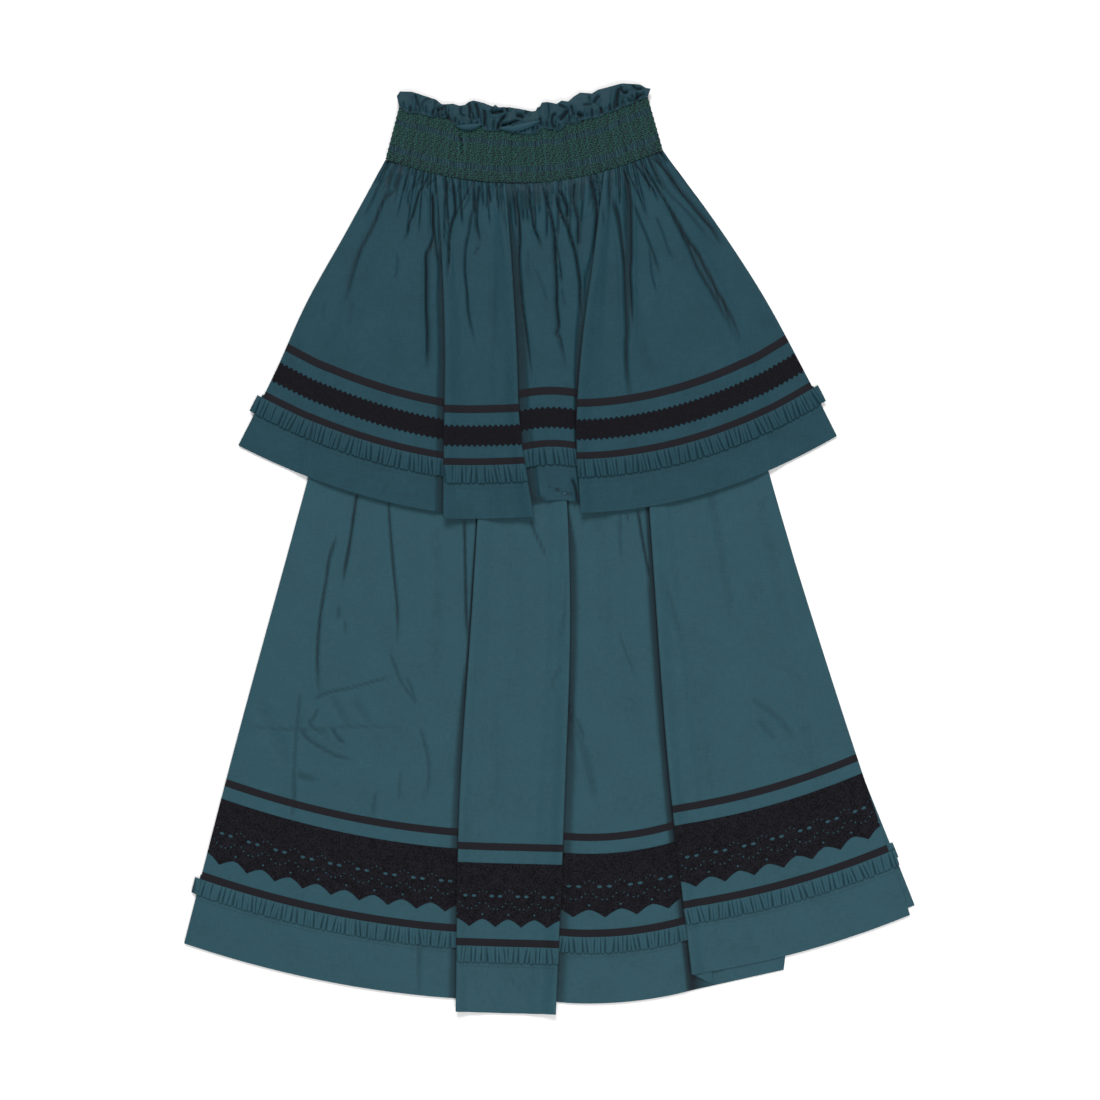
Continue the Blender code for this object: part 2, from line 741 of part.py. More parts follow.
def build():
    remove_everything()
    waistband_front()
    waistband_back()
    ruffle("ruffle_front", RUFFLE_BASE_Z, RUFFLE_DIP)
    ruffle("ruffle_back", dip=0.0, **BACK_RUFFLE)
    upper = front_columns(UPPER_LINES, UPPER_SAG, UPPER_GATHERS, GATHERING, side_columns)
    lower = front_columns(LOWER_LINES, LOWER_SAG, LOWER_GATHERS, SOFT_FOLDS, plain_side)
    panel("upper_front", upper, rest_upper_front, lambda column: UPPER_ROWS, "upper_cloth", CLOTH_UPPER)
    panel("lower_front", lower, rest_lower_front, rows_over_step, "lower_cloth", CLOTH_LOWER)
    panel("upper_back", upper_back_columns(), rest_floor, lambda column: UPPER_BACK_ROWS, "upper_cloth",
          CLOTH_UPPER)
    panel("lower_back", lower_back_columns(), ground, rows_over_step, "lower_cloth", CLOTH_LOWER)
    for stretch in STRETCHES:
        for part in ("ribbon_top", "ribbon_low"):
            ribbon(f"upper_{part}_{stretch}", upper, stretch, UPPER_TRIMS[part])
            ribbon(f"lower_{part}_{stretch}", lower, stretch, LOWER_TRIMS[part])
        braid(f"upper_braid_{stretch}", upper, stretch)
        lace(f"lower_lace_{stretch}", lower, stretch)
        frill(f"upper_frill_{stretch}", upper, stretch, UPPER_TRIMS["frill"], "upper_cloth", CLOTH_UPPER)
        frill(f"lower_frill_{stretch}", lower, stretch, LOWER_TRIMS["frill"], "lower_cloth", CLOTH_LOWER)


build()
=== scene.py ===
"""Looks of the two-tier maxi skirt, laid flat with its front up and seen from straight above.

Sizes are in millimetres in the skirt's own table axes until a mesh is made: X across the skirt, Y from the
hem to the waist, Z up from the surface that the skirt lies on. Cloth is a thin shell on the form of the solid
that it replaces, with its creases as troughs and ridges of that shell.
"""

import math

import bpy
import numpy as np
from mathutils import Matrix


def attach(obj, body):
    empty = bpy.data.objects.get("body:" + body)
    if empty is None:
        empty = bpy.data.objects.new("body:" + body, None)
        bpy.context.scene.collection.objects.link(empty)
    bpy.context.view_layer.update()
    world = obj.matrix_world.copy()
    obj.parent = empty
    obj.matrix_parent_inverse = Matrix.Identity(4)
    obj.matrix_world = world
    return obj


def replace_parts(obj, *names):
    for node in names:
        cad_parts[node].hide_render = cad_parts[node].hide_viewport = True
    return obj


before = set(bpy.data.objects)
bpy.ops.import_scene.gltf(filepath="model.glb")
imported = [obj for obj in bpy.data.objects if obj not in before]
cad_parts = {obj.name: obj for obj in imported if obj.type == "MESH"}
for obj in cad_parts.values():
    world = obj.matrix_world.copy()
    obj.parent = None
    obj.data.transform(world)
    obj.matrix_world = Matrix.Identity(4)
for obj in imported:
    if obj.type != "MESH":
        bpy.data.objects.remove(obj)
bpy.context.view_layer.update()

MM = 0.001
SHARP_ANGLE = math.radians(62)
# Middle of the skirt's outline in the table axes, which is the frame's origin
CENTRE = np.array([0.5, 0.87, 0.0])

# Cloth shells, trims and the way that they stack
THIN = 0.45
TRIM_THIN = 0.4
TRIM_LIFT = 0.55
LAYER = 0.9
CLEAR = 0.3
FLOOR_Z = 0.58
OVER_BACK_Z = 1.8
LOWER_FRONT_RISE = 1.3
UPPER_FRONT_Z = 7.1
# Places near a trim's ends at which it bends round the edge of a fold
END_STEPS = (0.25, 0.5, 0.8, 1.2, 1.8)
UNDER_TRIM_Z = 0.17
UNDER_TRIM_THIN = 0.26

# Waistband: both edges are shallow curves, lowest a little left of the middle
BAND_BOTTOM = {"left": -172.0, "right": 120.0, "low_x": -37.0, "low_y": 384.0, "bend": 0.00143}
BAND_TOP = {"left": -158.0, "right": 104.0, "low_x": -39.0, "low_y": 436.0, "bend": 0.00178}

# Lines down each tier: x at the waist, at each quarter of the way down and at the hem, then the hem's y. An
# edge is the outside of a knife fold and shows. An under line is its hidden inner turn.
UPPER_LINES = {
    "seam_left": (-172, -213, -255, -289, -327, 109),
    "under_1": (-114, -108, -100, -94, -91, 36),
    "edge_1": (-118, -112, -109, -110, -111, 32),
    "edge_2": (-46, -39, -34, -30, -16, 34),
    "under_2": (-50, -51, -52, -51, -43, 39),
    "under_3": (62, 54, 47, 47, 54, 42),
    "edge_3": (58, 47, 35, 29, 33, 38),
    "seam_right": (120, 175, 224, 265, 303, 119),
}
LOWER_LINES = {
    "seam_left": (-162, -219, -275, -331, -384, -415),
    "under_1": (-60, -62, -70, -80, -79, -474),
    "edge_1": (-64, -68, -80, -94, -98, -486),
    "edge_2": (-4, 12, 22, 16, 7, -489),
    "under_2": (-8, 5, 9, 0, -10, -475),
    "under_3": (84, 104, 125, 146, 173, -458),
    "edge_3": (80, 96, 110, 126, 150, -447),
    "seam_right": (111, 191, 250, 313, 380, -385),
}
LOWER_BACK_LINES = {
    "seam_left": (-160, -217, -273, -329, -381, -411),
    "middle": (-51, -51, -51, -51, -51, -463),
    "fold": (54, 85, 106, 125, 148, -465),
    "step_out": (98, 138, 174, 209, 247, -443),
    "step_in": (99, 140, 176, 211, 249, -427),
    "seam_right": (112, 190, 249, 308, 385, -375),
}
UPPER_SAG = {"left": 12.0, "centre": 1.0, "recess": -11.0, "right": 19.0}
LOWER_SAG = {"left": 11.0, "centre": 1.0, "recess": 10.0, "right": 8.0}
BACK_HEM = {"low_x": -23.0, "low_y": 54.0, "bend": 0.000634}
STEP_START = 2.0
STEP_LENGTH = 12.0
BACK_INSET = np.array([0.0, 1.0, 2.0, 2.0, 3.0])

# Sides of the upper tier's front, which comes down past the edge of the lower tier to lie on the back
SIDE_FOOT = 24.0
SIDE_SHOULDER = 3.0
FOOT_SHARE = 0.7
SHOULDER_SHARE = 0.3
SIDE_TOP = np.linspace(10.0, 25.0, 5)
# How far the shoulder of such a side stands above its foot
SIDE_RISE = 2.9
# Columns between the seam, foot, shoulder and top of such a side
SIDE_PARTS = (15, 7, 7)

# Knife folds: the visible edge stands up by EDGE_LIFT on a turn of EDGE_TURN and rolls back over EDGE_ROLL
PLATEAU = 2.0
RELAX = np.linspace(5.0, 14.0, 5)
EDGE_LIFT = 2.8
EDGE_TURN = 1.0
EDGE_ROLL = 15.0
# How much of that lift the folds have at the waist, at each quarter of the way down and at the hem
UPPER_STAND = np.array([0.7, 1.0, 1.0, 1.0, 1.0])
LOWER_STAND = np.array([0.0, 0.0, 0.75, 1.0, 1.0])
UNDERLAP = 2.6
UNDERLAP_SHARE = 0.4
FULL_FOLD = 9.0
TURN_ANGLES = (-90, -45, 0, 45, 90)
UNDER_SHARES = (0.4, 0.75)
TOP_SHARES = (0.07, 0.15, 0.25, 0.37, 0.5, 0.63, 0.76, 0.88, 1.0)
# Share of a fold's top over which the creases of the cloth come in
CREASED_AFTER = 0.4

# Spans across each stretch of a front, and rows down it
UPPER_SPANS = {"left": 84, "centre": 52, "recess": 72, "right": 82}
LOWER_SPANS = {"left": 104, "centre": 34, "recess": 50, "right": 82}
UPPER_ROW_COUNT = 118
UPPER_ROW_CROWDING = 1.25
# Rows of the lower tier, as shares of the way down and how many lie above each: few where the upper tier hides
# it, and close together in its fine wrinkles
LOWER_ROWS = ((0.32, 16), (0.565, 30), (0.735, 52), (1.0, 34))
BACK_SPANS = 70
UPPER_BACK_ROW_COUNT = 60
LOWER_BACK_ROW_COUNT = 72
UPPER_BACK_LINE_COUNT = 17

STRETCHES = ("left", "centre", "recess", "right")
STRETCH_ENDS = {
    "left": ("seam_left", "under_1"),
    "centre": ("edge_1", "edge_2"),
    "recess": ("under_2", "under_3"),
    "right": ("edge_3", "seam_right"),
}

# Trims: distances up from the hem along the cloth
UPPER_TRIMS = {"ribbon_top": (111.3, 119.2), "ribbon_low": (55.6, 63.4), "frill": (37.8, 56.3)}
LOWER_TRIMS = {"ribbon_top": (171.2, 178.6), "ribbon_low": (69.3, 77.7), "frill": (53.6, 70.0)}
BRAID = {"low": 75.6, "high": 98.7, "tooth": 2.6, "pitch": 5.8, "inset": 1.2}
RIBBON_STEP = 2.2
RIBBON_EDGE = 0.6
RIBBON_CROWN = 0.03
RIBBON_DROOP = 0.08
UPPER_STITCH_LINE = 32.0
LOWER_STITCH_LINE = 48.5
# Hem stitches: height over the cloth's middle, distance from one to the next, shares of that at which each
# starts and ends, and half width, rise and depth
HEM_STITCH_LIFT = THIN / 2 + 0.1
HEM_STITCH_PITCH = 3.0
HEM_STITCH_ENDS = (0.12, 0.82)
HEM_STITCH_HALF = 0.2
HEM_STITCH_RISE = 0.02
HEM_STITCH_DEPTH = 0.3

# Main creases of the upper tier: path from the waist down, half width, depth, and how far the cloth beside it
# falls off softly, to its right where positive
UPPER_CREASES = (
    (((-172.2, 408.5), (-180.6, 392.7)), 0.9, 1.1, 0),
    (((-154.3, 402.2), (-164.8, 394.8), (-181.7, 379.1), (-188, 369.6)), 1.1, 0.9, -1.5),
    (((-148.1, 397.9), (-155.4, 389.6), (-167, 378)), 1, 1, 0),
    (((-131.2, 395.9), (-137.6, 386.4), (-148.1, 376.9)), 1, 1.2, 0),
    (((-125, 393.8), (-131.2, 382.2), (-136.5, 373.8), (-139.7, 362.2), (-142.8, 350.7), (-147, 342.3),
      (-149.1, 329.7), (-156.5, 316.1)), 1.2, 2.1, -1.5),
    (((-130.2, 386.4), (-139.7, 381.2), (-146, 374.9), (-148.1, 365.4), (-146, 355.9),
      (-144.9, 348.6)), 1, 1.2, 1.5),
    (((-113.4, 391.7), (-119.7, 387.4), (-129.2, 380.1), (-135.5, 372.8)), 1.1, 1.3, 0),
    (((-158.6, 376.9), (-171.2, 369.6), (-177.5, 358.1), (-182.7, 344.4), (-190.1, 329.7),
      (-199.5, 311.9), (-206.9, 289.8), (-214.2, 263.6), (-221.6, 249.9)), 1.2, 1.9, -2.5),
    (((-122.9, 373.8), (-121.8, 358.1), (-121.8, 342.3), (-120.8, 328.7), (-120.8, 316.1)), 1.5, 3.4, 0),
    (((-120.8, 329.7), (-125, 317.1), (-129.2, 308.7), (-129.2, 291.9), (-129.2, 271.9), (-129.2, 251),
      (-128.1, 230), (-128.1, 203.7), (-128.1, 175.3)), 1.3, 2.5, 3.5),
    (((-120.8, 328.7), (-117.6, 311.9), (-113.4, 291.9), (-111.3, 276.2), (-110.2, 261.4)), 1.6, 1.7, -3),
    (((-107.1, 387.4), (-107.1, 375.9), (-109.2, 363.3), (-109.2, 347.6), (-110.2, 327.6),
      (-111.3, 313.9), (-110.2, 295.1)), 1.2, 1.9, 0),
    (((-100.8, 386.4), (-99.8, 375.9), (-98.7, 363.3), (-98.7, 352.8), (-102.9, 338.1), (-105, 321.3),
      (-105, 304.5), (-106.1, 291.9), (-108.2, 274.1)), 1.3, 2.5, 0),
    (((-92.4, 381.2), (-96.6, 373.8), (-98.7, 365.4)), 0.9, 0.9, 0),
    (((-80.9, 383.2), (-86.1, 373.8), (-90.3, 365.4), (-95.5, 355.9), (-101.9, 340.2)), 1.1, 1.6, 0),
    (((-81.9, 373.8), (-87.2, 360.2), (-93.5, 350.7)), 1, 1, 0),
    (((-79.8, 376.9), (-78.8, 360.2), (-81.9, 347.6), (-84, 332.9), (-87.2, 318.2), (-88.2, 306.6),
      (-88.2, 288.8), (-86.1, 269.9), (-85, 251), (-81.9, 233.1), (-77.7, 216.3),
      (-75.6, 202.7)), 1.2, 1.7, -2),
    (((-72.5, 383.2), (-74.5, 368.6), (-75.6, 352.8), (-75.6, 340.2), (-73.5, 327.6),
      (-73.5, 316.1)), 1.2, 2, -3),
    (((-73.5, 317.1), (-76.7, 311.9), (-79.8, 307.7)), 1.1, 1.3, 0),
    (((-63, 382.2), (-64, 373.8), (-65.1, 363.3), (-66.2, 352.8)), 1, 1.2, 0),
    (((-64, 383.2), (-63, 376.9), (-62, 369.6), (-60.9, 360.2)), 1.2, 2.1, 0),
    (((-48.3, 384.3), (-49.4, 376.9), (-49.4, 369.6)), 1.2, 2.3, 0),
    (((-48.3, 370.7), (-46.2, 361.2), (-45.1, 350.7), (-45.1, 340.2), (-43.1, 326.6), (-41, 304.5),
      (-41, 283.5)), 1.8, 3.2, 3),
    (((-31.5, 383.2), (-33.6, 372.8), (-33.6, 364.4), (-31.5, 348.6), (-30.5, 324.4), (-31.5, 304.5),
      (-30.5, 283.5), (-28.4, 257.2), (-24.2, 230), (-21, 203.7), (-18.9, 182.7),
      (-17.9, 165.9)), 1.3, 2.7, -3),
    (((-38.9, 384.3), (-39.9, 374.9), (-39.9, 363.3)), 1, 1.3, 0),
    (((-22.1, 383.2), (-19.9, 372.8), (-19.9, 362.2), (-17.9, 351.8), (-15.8, 338.1), (-10.5, 324.4),
      (-6.3, 308.7)), 1.3, 2.5, 1.5),
    (((-8.4, 386.4), (-4.2, 372.8), (-1.1, 362.2), (3.2, 345.4), (6.3, 326.6), (6.3, 316.1),
      (7.4, 297.2), (8.4, 277.2), (8.4, 257.2), (10.5, 235.2), (8.4, 226.8), (11.6, 221.6),
      (14.7, 206.9), (16.8, 191.1), (16.8, 175.3)), 1.3, 2.6, -3),
    (((6.3, 324.4), (10.5, 304.5), (12.6, 288.8), (13.7, 274.1)), 1.2, 1.7, -1.5),
    (((0, 385.4), (3.2, 376.9), (5.2, 369.6)), 1, 1.2, 0),
    (((7.4, 375.9), (9.5, 361.2), (14.7, 347.6), (19.9, 337.1), (22.1, 328.7), (27.3, 311.9),
      (30.5, 292.9), (32.6, 277.2), (32.6, 264.6), (33.6, 245.7), (33.6, 215.2)), 1.6, 3.1, -1),
    (((11.6, 376.9), (15.8, 366.4), (18.9, 359.1), (18.9, 348.6), (18.9, 338.1)), 1.6, 3.1, 0),
    (((11.6, 388.5), (11.6, 379.1)), 1, 1.1, 0),
    (((27.3, 386.4), (26.2, 374.9), (26.2, 362.2), (30.5, 345.4), (30.5, 332.9), (30.5, 316.1),
      (29.4, 305.6)), 1.4, 2.3, 3.5),
    (((43.1, 397.9), (44.1, 385.4), (47.2, 374.9), (49.4, 362.2), (50.4, 348.6), (49.4, 332.9),
      (48.3, 316.1), (47.2, 300.3), (44.1, 283.5), (39.9, 263.6), (35.7, 244.7)), 1.8, 3, -3),
    (((49.4, 395.9), (51.5, 384.3), (53.6, 369.6), (53.6, 359.1), (56.7, 348.6), (62, 340.2)), 1.1, 1.6, 0),
    (((66.2, 368.6), (71.4, 351.8), (74.5, 334.9), (77.2, 316.1), (79.8, 292.9), (80.9, 261.4),
      (81.9, 230), (80.9, 211.1), (81.9, 182.7), (85, 160.7), (87.2, 135.5)), 2.2, 2, 0),
    (((78.8, 389.6), (81.9, 370.7), (82.4, 324.4), (82.4, 292.9), (82.4, 261.4), (83, 230),
      (84, 209)), 3.1, 3, 0),
    (((76.7, 403.2), (80.9, 389.6), (84, 372.8), (85.6, 353.9), (86.1, 324.4), (86.1, 304.5),
      (85, 290.9), (86.1, 269.9), (87.2, 235.2), (85, 214.2)), 1.5, 3, 0),
    (((79.8, 404.2), (85, 389.6), (91.4, 378), (98.7, 361.2), (105, 343.4)), 1.1, 1.6, 0),
    (((85, 408.5), (93.5, 400.1), (99.8, 390.6), (108.2, 378), (113.4, 368.6)), 1.1, 1.9, 0),
    (((95.5, 409.5), (104, 394.8), (114.5, 376.9), (123.9, 362.2), (133.3, 343.4), (148.1, 313.9),
      (158.6, 290.9), (171.2, 269.9), (181.7, 251), (195.3, 224.7), (203.7, 209)), 1.3, 2.0, 2),
    (((123.9, 362.2), (133.3, 346.5), (146, 324.4), (153.3, 315), (162.8, 298.2), (172.2, 279.3),
      (179.6, 265.7), (186.9, 253.1), (196.3, 232.1), (205.8, 207.9)), 1.3, 2.4, -2),
    (((89.2, 362.2), (96.6, 342.3), (106.1, 319.2), (113.4, 298.2), (117.6, 281.4)), 1.2, 1.4, -1.5),
    (((106.1, 313.9), (108.2, 287.7), (114.5, 263.6)), 1, 1.1, 0),
    (((112.4, 348.6), (119.7, 330.8), (125, 315), (133.3, 298.2)), 1.1, 0.9, 0),
    (((109.2, 412.7), (117.6, 403.2), (128.1, 390.6), (137.6, 376.9), (148.1, 364.4), (163.8, 345.4),
      (172.2, 336), (178.5, 324.4), (182.7, 319.2), (192.2, 316.1)), 1.6, 2.6, 3),
    (((118.7, 414.8), (125, 405.3)), 1.1, 1.3, 0),
    (((110.2, 394.8), (122.9, 378), (135.5, 364.4), (148.1, 351.8), (158.6, 339.2), (172.2, 321.3),
      (179.6, 316.1)), 1.1, 1.1, 0),
    (((-22.1, 310.8), (-22.1, 297.2), (-23.1, 282.4)), 1.2, 0.6, 0),
    (((-14.7, 294), (-7.4, 277.2), (0, 253.1)), 1.4, 0.7, 0),
    (((13.7, 273), (17.9, 251)), 1.2, 0.7, 0),
    (((55.7, 361.2), (57.8, 347.6), (56.7, 337.1)), 1, 0.8, 0),
    (((-236.2, 258.3), (-238.4, 247.8), (-234.2, 238.4)), 1.2, 0.5, 0),
    (((-206.9, 261.4), (-210, 242.6), (-212.1, 228.9)), 2, 0.5, 0),
    (((-159.6, 308.7), (-159.6, 292.9), (-162.8, 279.3)), 1.4, 0.7, 0),
    (((-169.1, 68.2), (-177.5, 55.7)), 1.2, 0.6, 0),
    (((-21, 62), (-14.7, 51.5), (-9.5, 38.9)), 1.5, 2, 2),
    (((-16.8, 55.7), (-9.5, 51.5), (-2.1, 51.5)), 2.8, 2.2, 0),
    (((-1.1, 65.1), (7.4, 63), (17.9, 57.8), (29.4, 56.7)), 1.2, 1.7, 0),
    (((24.2, 74.5), (28.4, 62), (30.5, 46.2), (32.6, 37.8)), 1.5, 2.9, 0),
    (((90, 258), (98, 210), (112, 168)), 5, 1, 0),
    (((-57, 300), (-58, 240), (-52, 190)), 4, 0.8, 0),
    (((-262, 215), (-280, 180), (-296, 150)), 6, 0.9, 0),
    (((228, 240), (252, 205), (268, 172)), 6, 0.9, 0),
    (((-96, 190), (-90, 140), (-95, 100)), 6, 0.8, 0),
    (((-160, 220), (-170, 170), (-181, 120)), 7, 0.8, 0),
    (((140, 200), (150, 150), (168, 100)), 7, 0.8, 0),
    (((-110, 78), (-60, 84), (-24, 92)), 3, 0.4, 0),
)

# Creases of the lower tier, below the upper tier's hem
LOWER_CREASES = (
    (((-201.6, 62), (-205.8, 33.6), (-210, 4.2), (-216.3, -29.4), (-217.4, -44.1)), 1.7, 2.3, 1.5),
    (((-220.5, -59.9), (-222.6, -70.4), (-215.2, -77.7), (-214.2, -95.5)), 1.6, 0.9, 0),
    (((-169.1, 52.5), (-167, 17.9), (-162.8, -29.4), (-159.6, -64), (-159.6, -107.1)), 1.4, 2, 0),
    (((-223.7, 12.6), (-231, -9.5), (-235.2, -36.8), (-240.5, -68.2), (-243.6, -102.9),
      (-243.6, -132.3), (-241.5, -164.8)), 1.4, 1.9, 0),
    (((-89.2, 31.5), (-88.2, -15.8), (-87.2, -64), (-85, -108.2)), 1.5, 2.2, 0),
    (((21, -160.7), (22.1, -173.2), (24.2, -188)), 1.9, 2.7, 0),
    (((93.5, 39.9), (98.7, 8.4), (104, -21), (106.1, -46.2)), 1.5, 2.2, 0),
    (((-19.9, 33.6), (-15.8, 19.9), (-9.5, 6.3), (0, -12.6)), 1.5, 1.3, 0),
    (((75.6, 37.8), (74.5, 10.5), (77.7, -15.8)), 1.3, 0.8, 0),
    (((80.9, 37.8), (83, 32.6), (87.2, 29.4)), 1.3, 1.3, 0),
    (((18.9, -21), (16.8, -68.2), (12.6, -87.2), (6.3, -101.9)), 1.7, 0.9, 0),
    (((12.6, -122.9), (4.2, -138.6), (2.1, -152.2)), 1.5, 0.6, 0),
    (((72.5, -84), (78.8, -102.9), (86.1, -122.9), (90.3, -140.7)), 1.7, 0.6, 0),
    (((126, -44.1), (133.3, -73.5), (140.7, -96.6)), 2, 0.5, 0),
    (((28.4, -177.5), (37.8, -201.6)), 1.7, 0.8, 0),
    (((-137, -402), (-137, -440), (-138, -474)), 1.4, 0.8, 0),
    (((-262, -150), (-268, -220), (-271, -292)), 1.3, 0.8, 0),
    (((-247.8, -158.6), (-232.1, -151.2), (-206.9, -146), (-169.1, -135.5), (-157.5, -133.3)), 1.2, 1, 2),
    (((-167, -110.2), (-161.7, -125), (-156.5, -138.6), (-144.9, -155.4), (-133.3, -168)), 1.2, 0.9, 0),
    (((-313.9, -186.9), (-277.2, -190.1), (-239.4, -189), (-198.5, -186.9), (-142.8, -188)), 1.1, 0.6, 0),
    (((-262.5, -189), (-255.2, -198.5), (-245.7, -205.8), (-226.8, -216.3), (-214.2, -219.5),
      (-198.5, -221.6)), 1.2, 1.1, 0),
    (((-228.9, -189), (-224.7, -195.3), (-219.5, -201.6), (-212.1, -204.8)), 1.3, 1.1, 0),
    (((-269.9, -230), (-267.8, -246.8), (-267.8, -263.6), (-269.9, -276.2), (-273, -290.9)), 1.1, 0.9, 0),
    (((-265.7, -237.3), (-245.7, -240.5), (-227.9, -243.6), (-215.2, -248.9)), 1.2, 1, 0),
    (((-135.5, -189), (-128.1, -216.3), (-127.1, -247.8), (-137.6, -271.9)), 1.2, 0.9, 0),
    (((-150.2, -134.4), (-143.8, -150.2), (-140.7, -168)), 1.2, 0.8, 0),
    (((-243.6, -168), (-247.8, -177.5), (-252, -183.8), (-239.4, -193.2), (-228.9, -190.1)), 1.1, 1, 0),
    (((-156.5, -233.1), (-157.5, -248.9), (-158.6, -265.7)), 1.2, 0.7, 0),
    (((-181.7, -255.2), (-184.8, -269.9), (-185.8, -283.5)), 1.3, 0.8, 0),
    (((-205.8, -158.6), (-196.3, -173.2), (-185.8, -189)), 4, 1, 0),
    (((-306.6, -158.6), (-290.9, -195.3), (-271.9, -235.2)), 6, 1.1, 0),
    (((-230, -156.5), (-218.4, -175.3), (-211.1, -196.3)), 4, 0.8, 0),
    (((-42, -449), (-33, -460), (-22, -472)), 1.4, 0.4, 0),
    (((-300, -60), (-318, -130), (-331, -205)), 6.0, 0.9, 0),
    (((-120, 20), (-118, -60), (-124, -150)), 5.0, 0.8, 0),
    (((-40, 20), (-36, -80), (-42, -190)), 7.0, 0.8, 0),
    (((-60, -150), (-58, -230), (-62, -300)), 6.0, 0.6, 0),
    (((52, 40), (58, -40), (62, -130)), 6.0, 1.0, 0),
    (((24.7, -186.5), (37.3, -215.3), (49.9, -273)), 3.6, 1.2, 0),
    (((76.7, -114.5), (88, -158), (94.5, -200.6)), 6.0, 0.9, 0),
    (((213.2, -157.5), (242.6, -179.6), (262.5, -207.9)), 3.2, 0.8, 0),
    (((220.5, -179.6), (231, -193), (242.6, -204.8)), 3.0, 0.6, 0),
    (((222.6, -36.8), (210, -64), (192.2, -90)), 7.0, 0.8, 0),
    (((84, -60), (88, -160), (92, -250)), 7.0, 0.7, 0),
    (((170, 60), (182, -10), (196, -90)), 4.0, 0.9, 0),
    (((222, 60), (238, -20), (258, -110)), 5.0, 0.8, 0),
    (((150, -100), (160, -190), (172, -280)), 7.0, 0.7, 0),
    (((262, -160), (280, -230), (300, -300)), 6.0, 0.7, 0),
    (((230, -120), (252, -128), (270, -142)), 4.0, 0.5, 0),
    (((44, -402), (60, -420), (70, -446)), 5.0, 0.6, 0),
    (((200, -398), (214, -414), (220, -432)), 5.0, 0.5, 0),
    (((-300, -372), (-286, -398), (-262, -424)), 6.0, 0.5, 0),
)

# Short gathers right below the waistband: how many in each stretch and the sizes that they range over
GATHER_COUNTS = {"left": 29, "centre": 19, "recess": 32, "right": 29}
GATHER_REACH = (8.0, 74.0)
GATHER_DEPTH = (0.5, 2.1)
GATHER_WIDTH = (0.65, 1.0)
# Shares of a gather's length at which its path has a point, and how far it drifts aside
GATHER_PARTS = (-0.06, 0.3, 0.65, 1.0)
GATHER_DRIFT = 2.5
# The gathered cloth puffs up below the waistband: how far, and over what share of the way down
PUFF = 1.5
PUFF_START = 0.03
PUFF_END = 0.75
PUFF_SIDE = 30.0
# How far each front may dip, clear of the layers under it
UPPER_LEAST_Z = 5.65
UPPER_LEAST_DIP = 0.8
LOWER_LEAST_RISE = 0.62
DEEPEST_TROUGH = 3.0
# Steps between two points of a crease's path, and how far from the path the crease reaches in half widths
PATH_STEPS = 6
CREASE_REACH = 2.6
REACH_WIDENED = 1.7
# Shares of its length over which a crease comes in and runs out, and how much of it is there at its start
FADE_IN = 0.08
FADE_OUT = 0.3
FADE_START = 0.25
# Ridge that a crease throws up beside it: its height as a share of the depth, and its place and width in half
# widths
LIP = 0.3
RUFFLE_LIP = 0.5
LIP_PLACE = 2.3
LIP_WIDTH = 1.1
# Painted shade in creases: depth of trough that is as dark as cloth gets, the width up to which it is, and
# its soft side's darkness
DARKEST_DEPTH = 2.4
DARKEST_WIDTH = 2.4
SOFT_SIDE = 0.5
# Creases are no narrower than this share of the cloth grid's spacing, so that they don't break up, and no more
# than so many times as wide as their table says
LEAST_WIDTH = 0.85
MOST_WIDENED = 1.5
# Power that makes a crease's shadow narrower than the crease, and how much the shadow is strengthened
CRISPNESS = 1.5
SHADOW_GAIN = 1.3
# Valleys beside the visible edges of the knife folds, with painted shade: stretch and end of it, depth,
# and for places up the skirt the valley's width and the darkness of its painted shade. They are flat over a
# share of their width, and as deep as stated from a width of VALLEY_FULL.
VALLEY_FLAT = 0.6
VALLEY_LEAST = 0.6
VALLEY_FULL = 3.0
VALLEY_GAIN = 1.4
VALLEY_EDGE = 1.5
FOLD_VALLEYS = {
    "upper": (
        ("left", -1, 1.8, ((40, 8, 0.55), (72, 8, 0.6), (104, 7.5, 0.65), (156, 8, 0.6), (261, 7.5, 0.6),
                           (310, 3, 0.5), (340, 1, 0.3), (384, 0.5, 0))),
        ("recess", 0, 2.0, ((40, 6, 0.55), (72, 8, 0.5), (110, 10, 0.5), (160, 10, 0.55), (190, 11, 0.6),
                            (230, 11, 0.65), (261, 10.5, 0.65), (300, 9, 0.6), (330, 6, 0.5), (350, 3, 0.5),
                            (372, 1, 0.3))),
        ("recess", -1, 2.2, ((38, 2, 0.8), (60, 1.6, 0.9), (104, 2, 0.85), (140, 2.6, 0.9), (166, 3, 0.9),
                             (188, 5, 0.7), (220, 7, 0.6), (250, 8, 0.45), (285, 7, 0.3), (310, 3, 0.2),
                             (340, 1, 0))),
    ),
    "lower": (
        ("left", -1, 1.4, ((-486, 7.5, 0.5), (-300, 7.5, 0.55), (-195, 6.5, 0.6), (-148, 4.5, 0.7),
                           (-105, 2, 0.85), (40, 1.8, 0.85))),
        ("recess", 0, 1.5, ((-480, 9, 0.5), (-300, 10, 0.55), (-215, 10, 0.6), (-190, 8, 0.75),
                            (-163, 7.5, 0.75), (-100, 8, 0.6), (0, 8, 0.65), (20, 5, 0.65), (43, 1.5, 0.7))),
        ("recess", -1, 1.5, ((-440, 5, 0.95), (-300, 5.5, 0.95), (-200, 6, 0.9), (-100, 6.8, 0.85),
                             (-45, 7, 0.85), (-22, 4.5, 0.85), (43, 3.5, 0.85))),
    ),
}

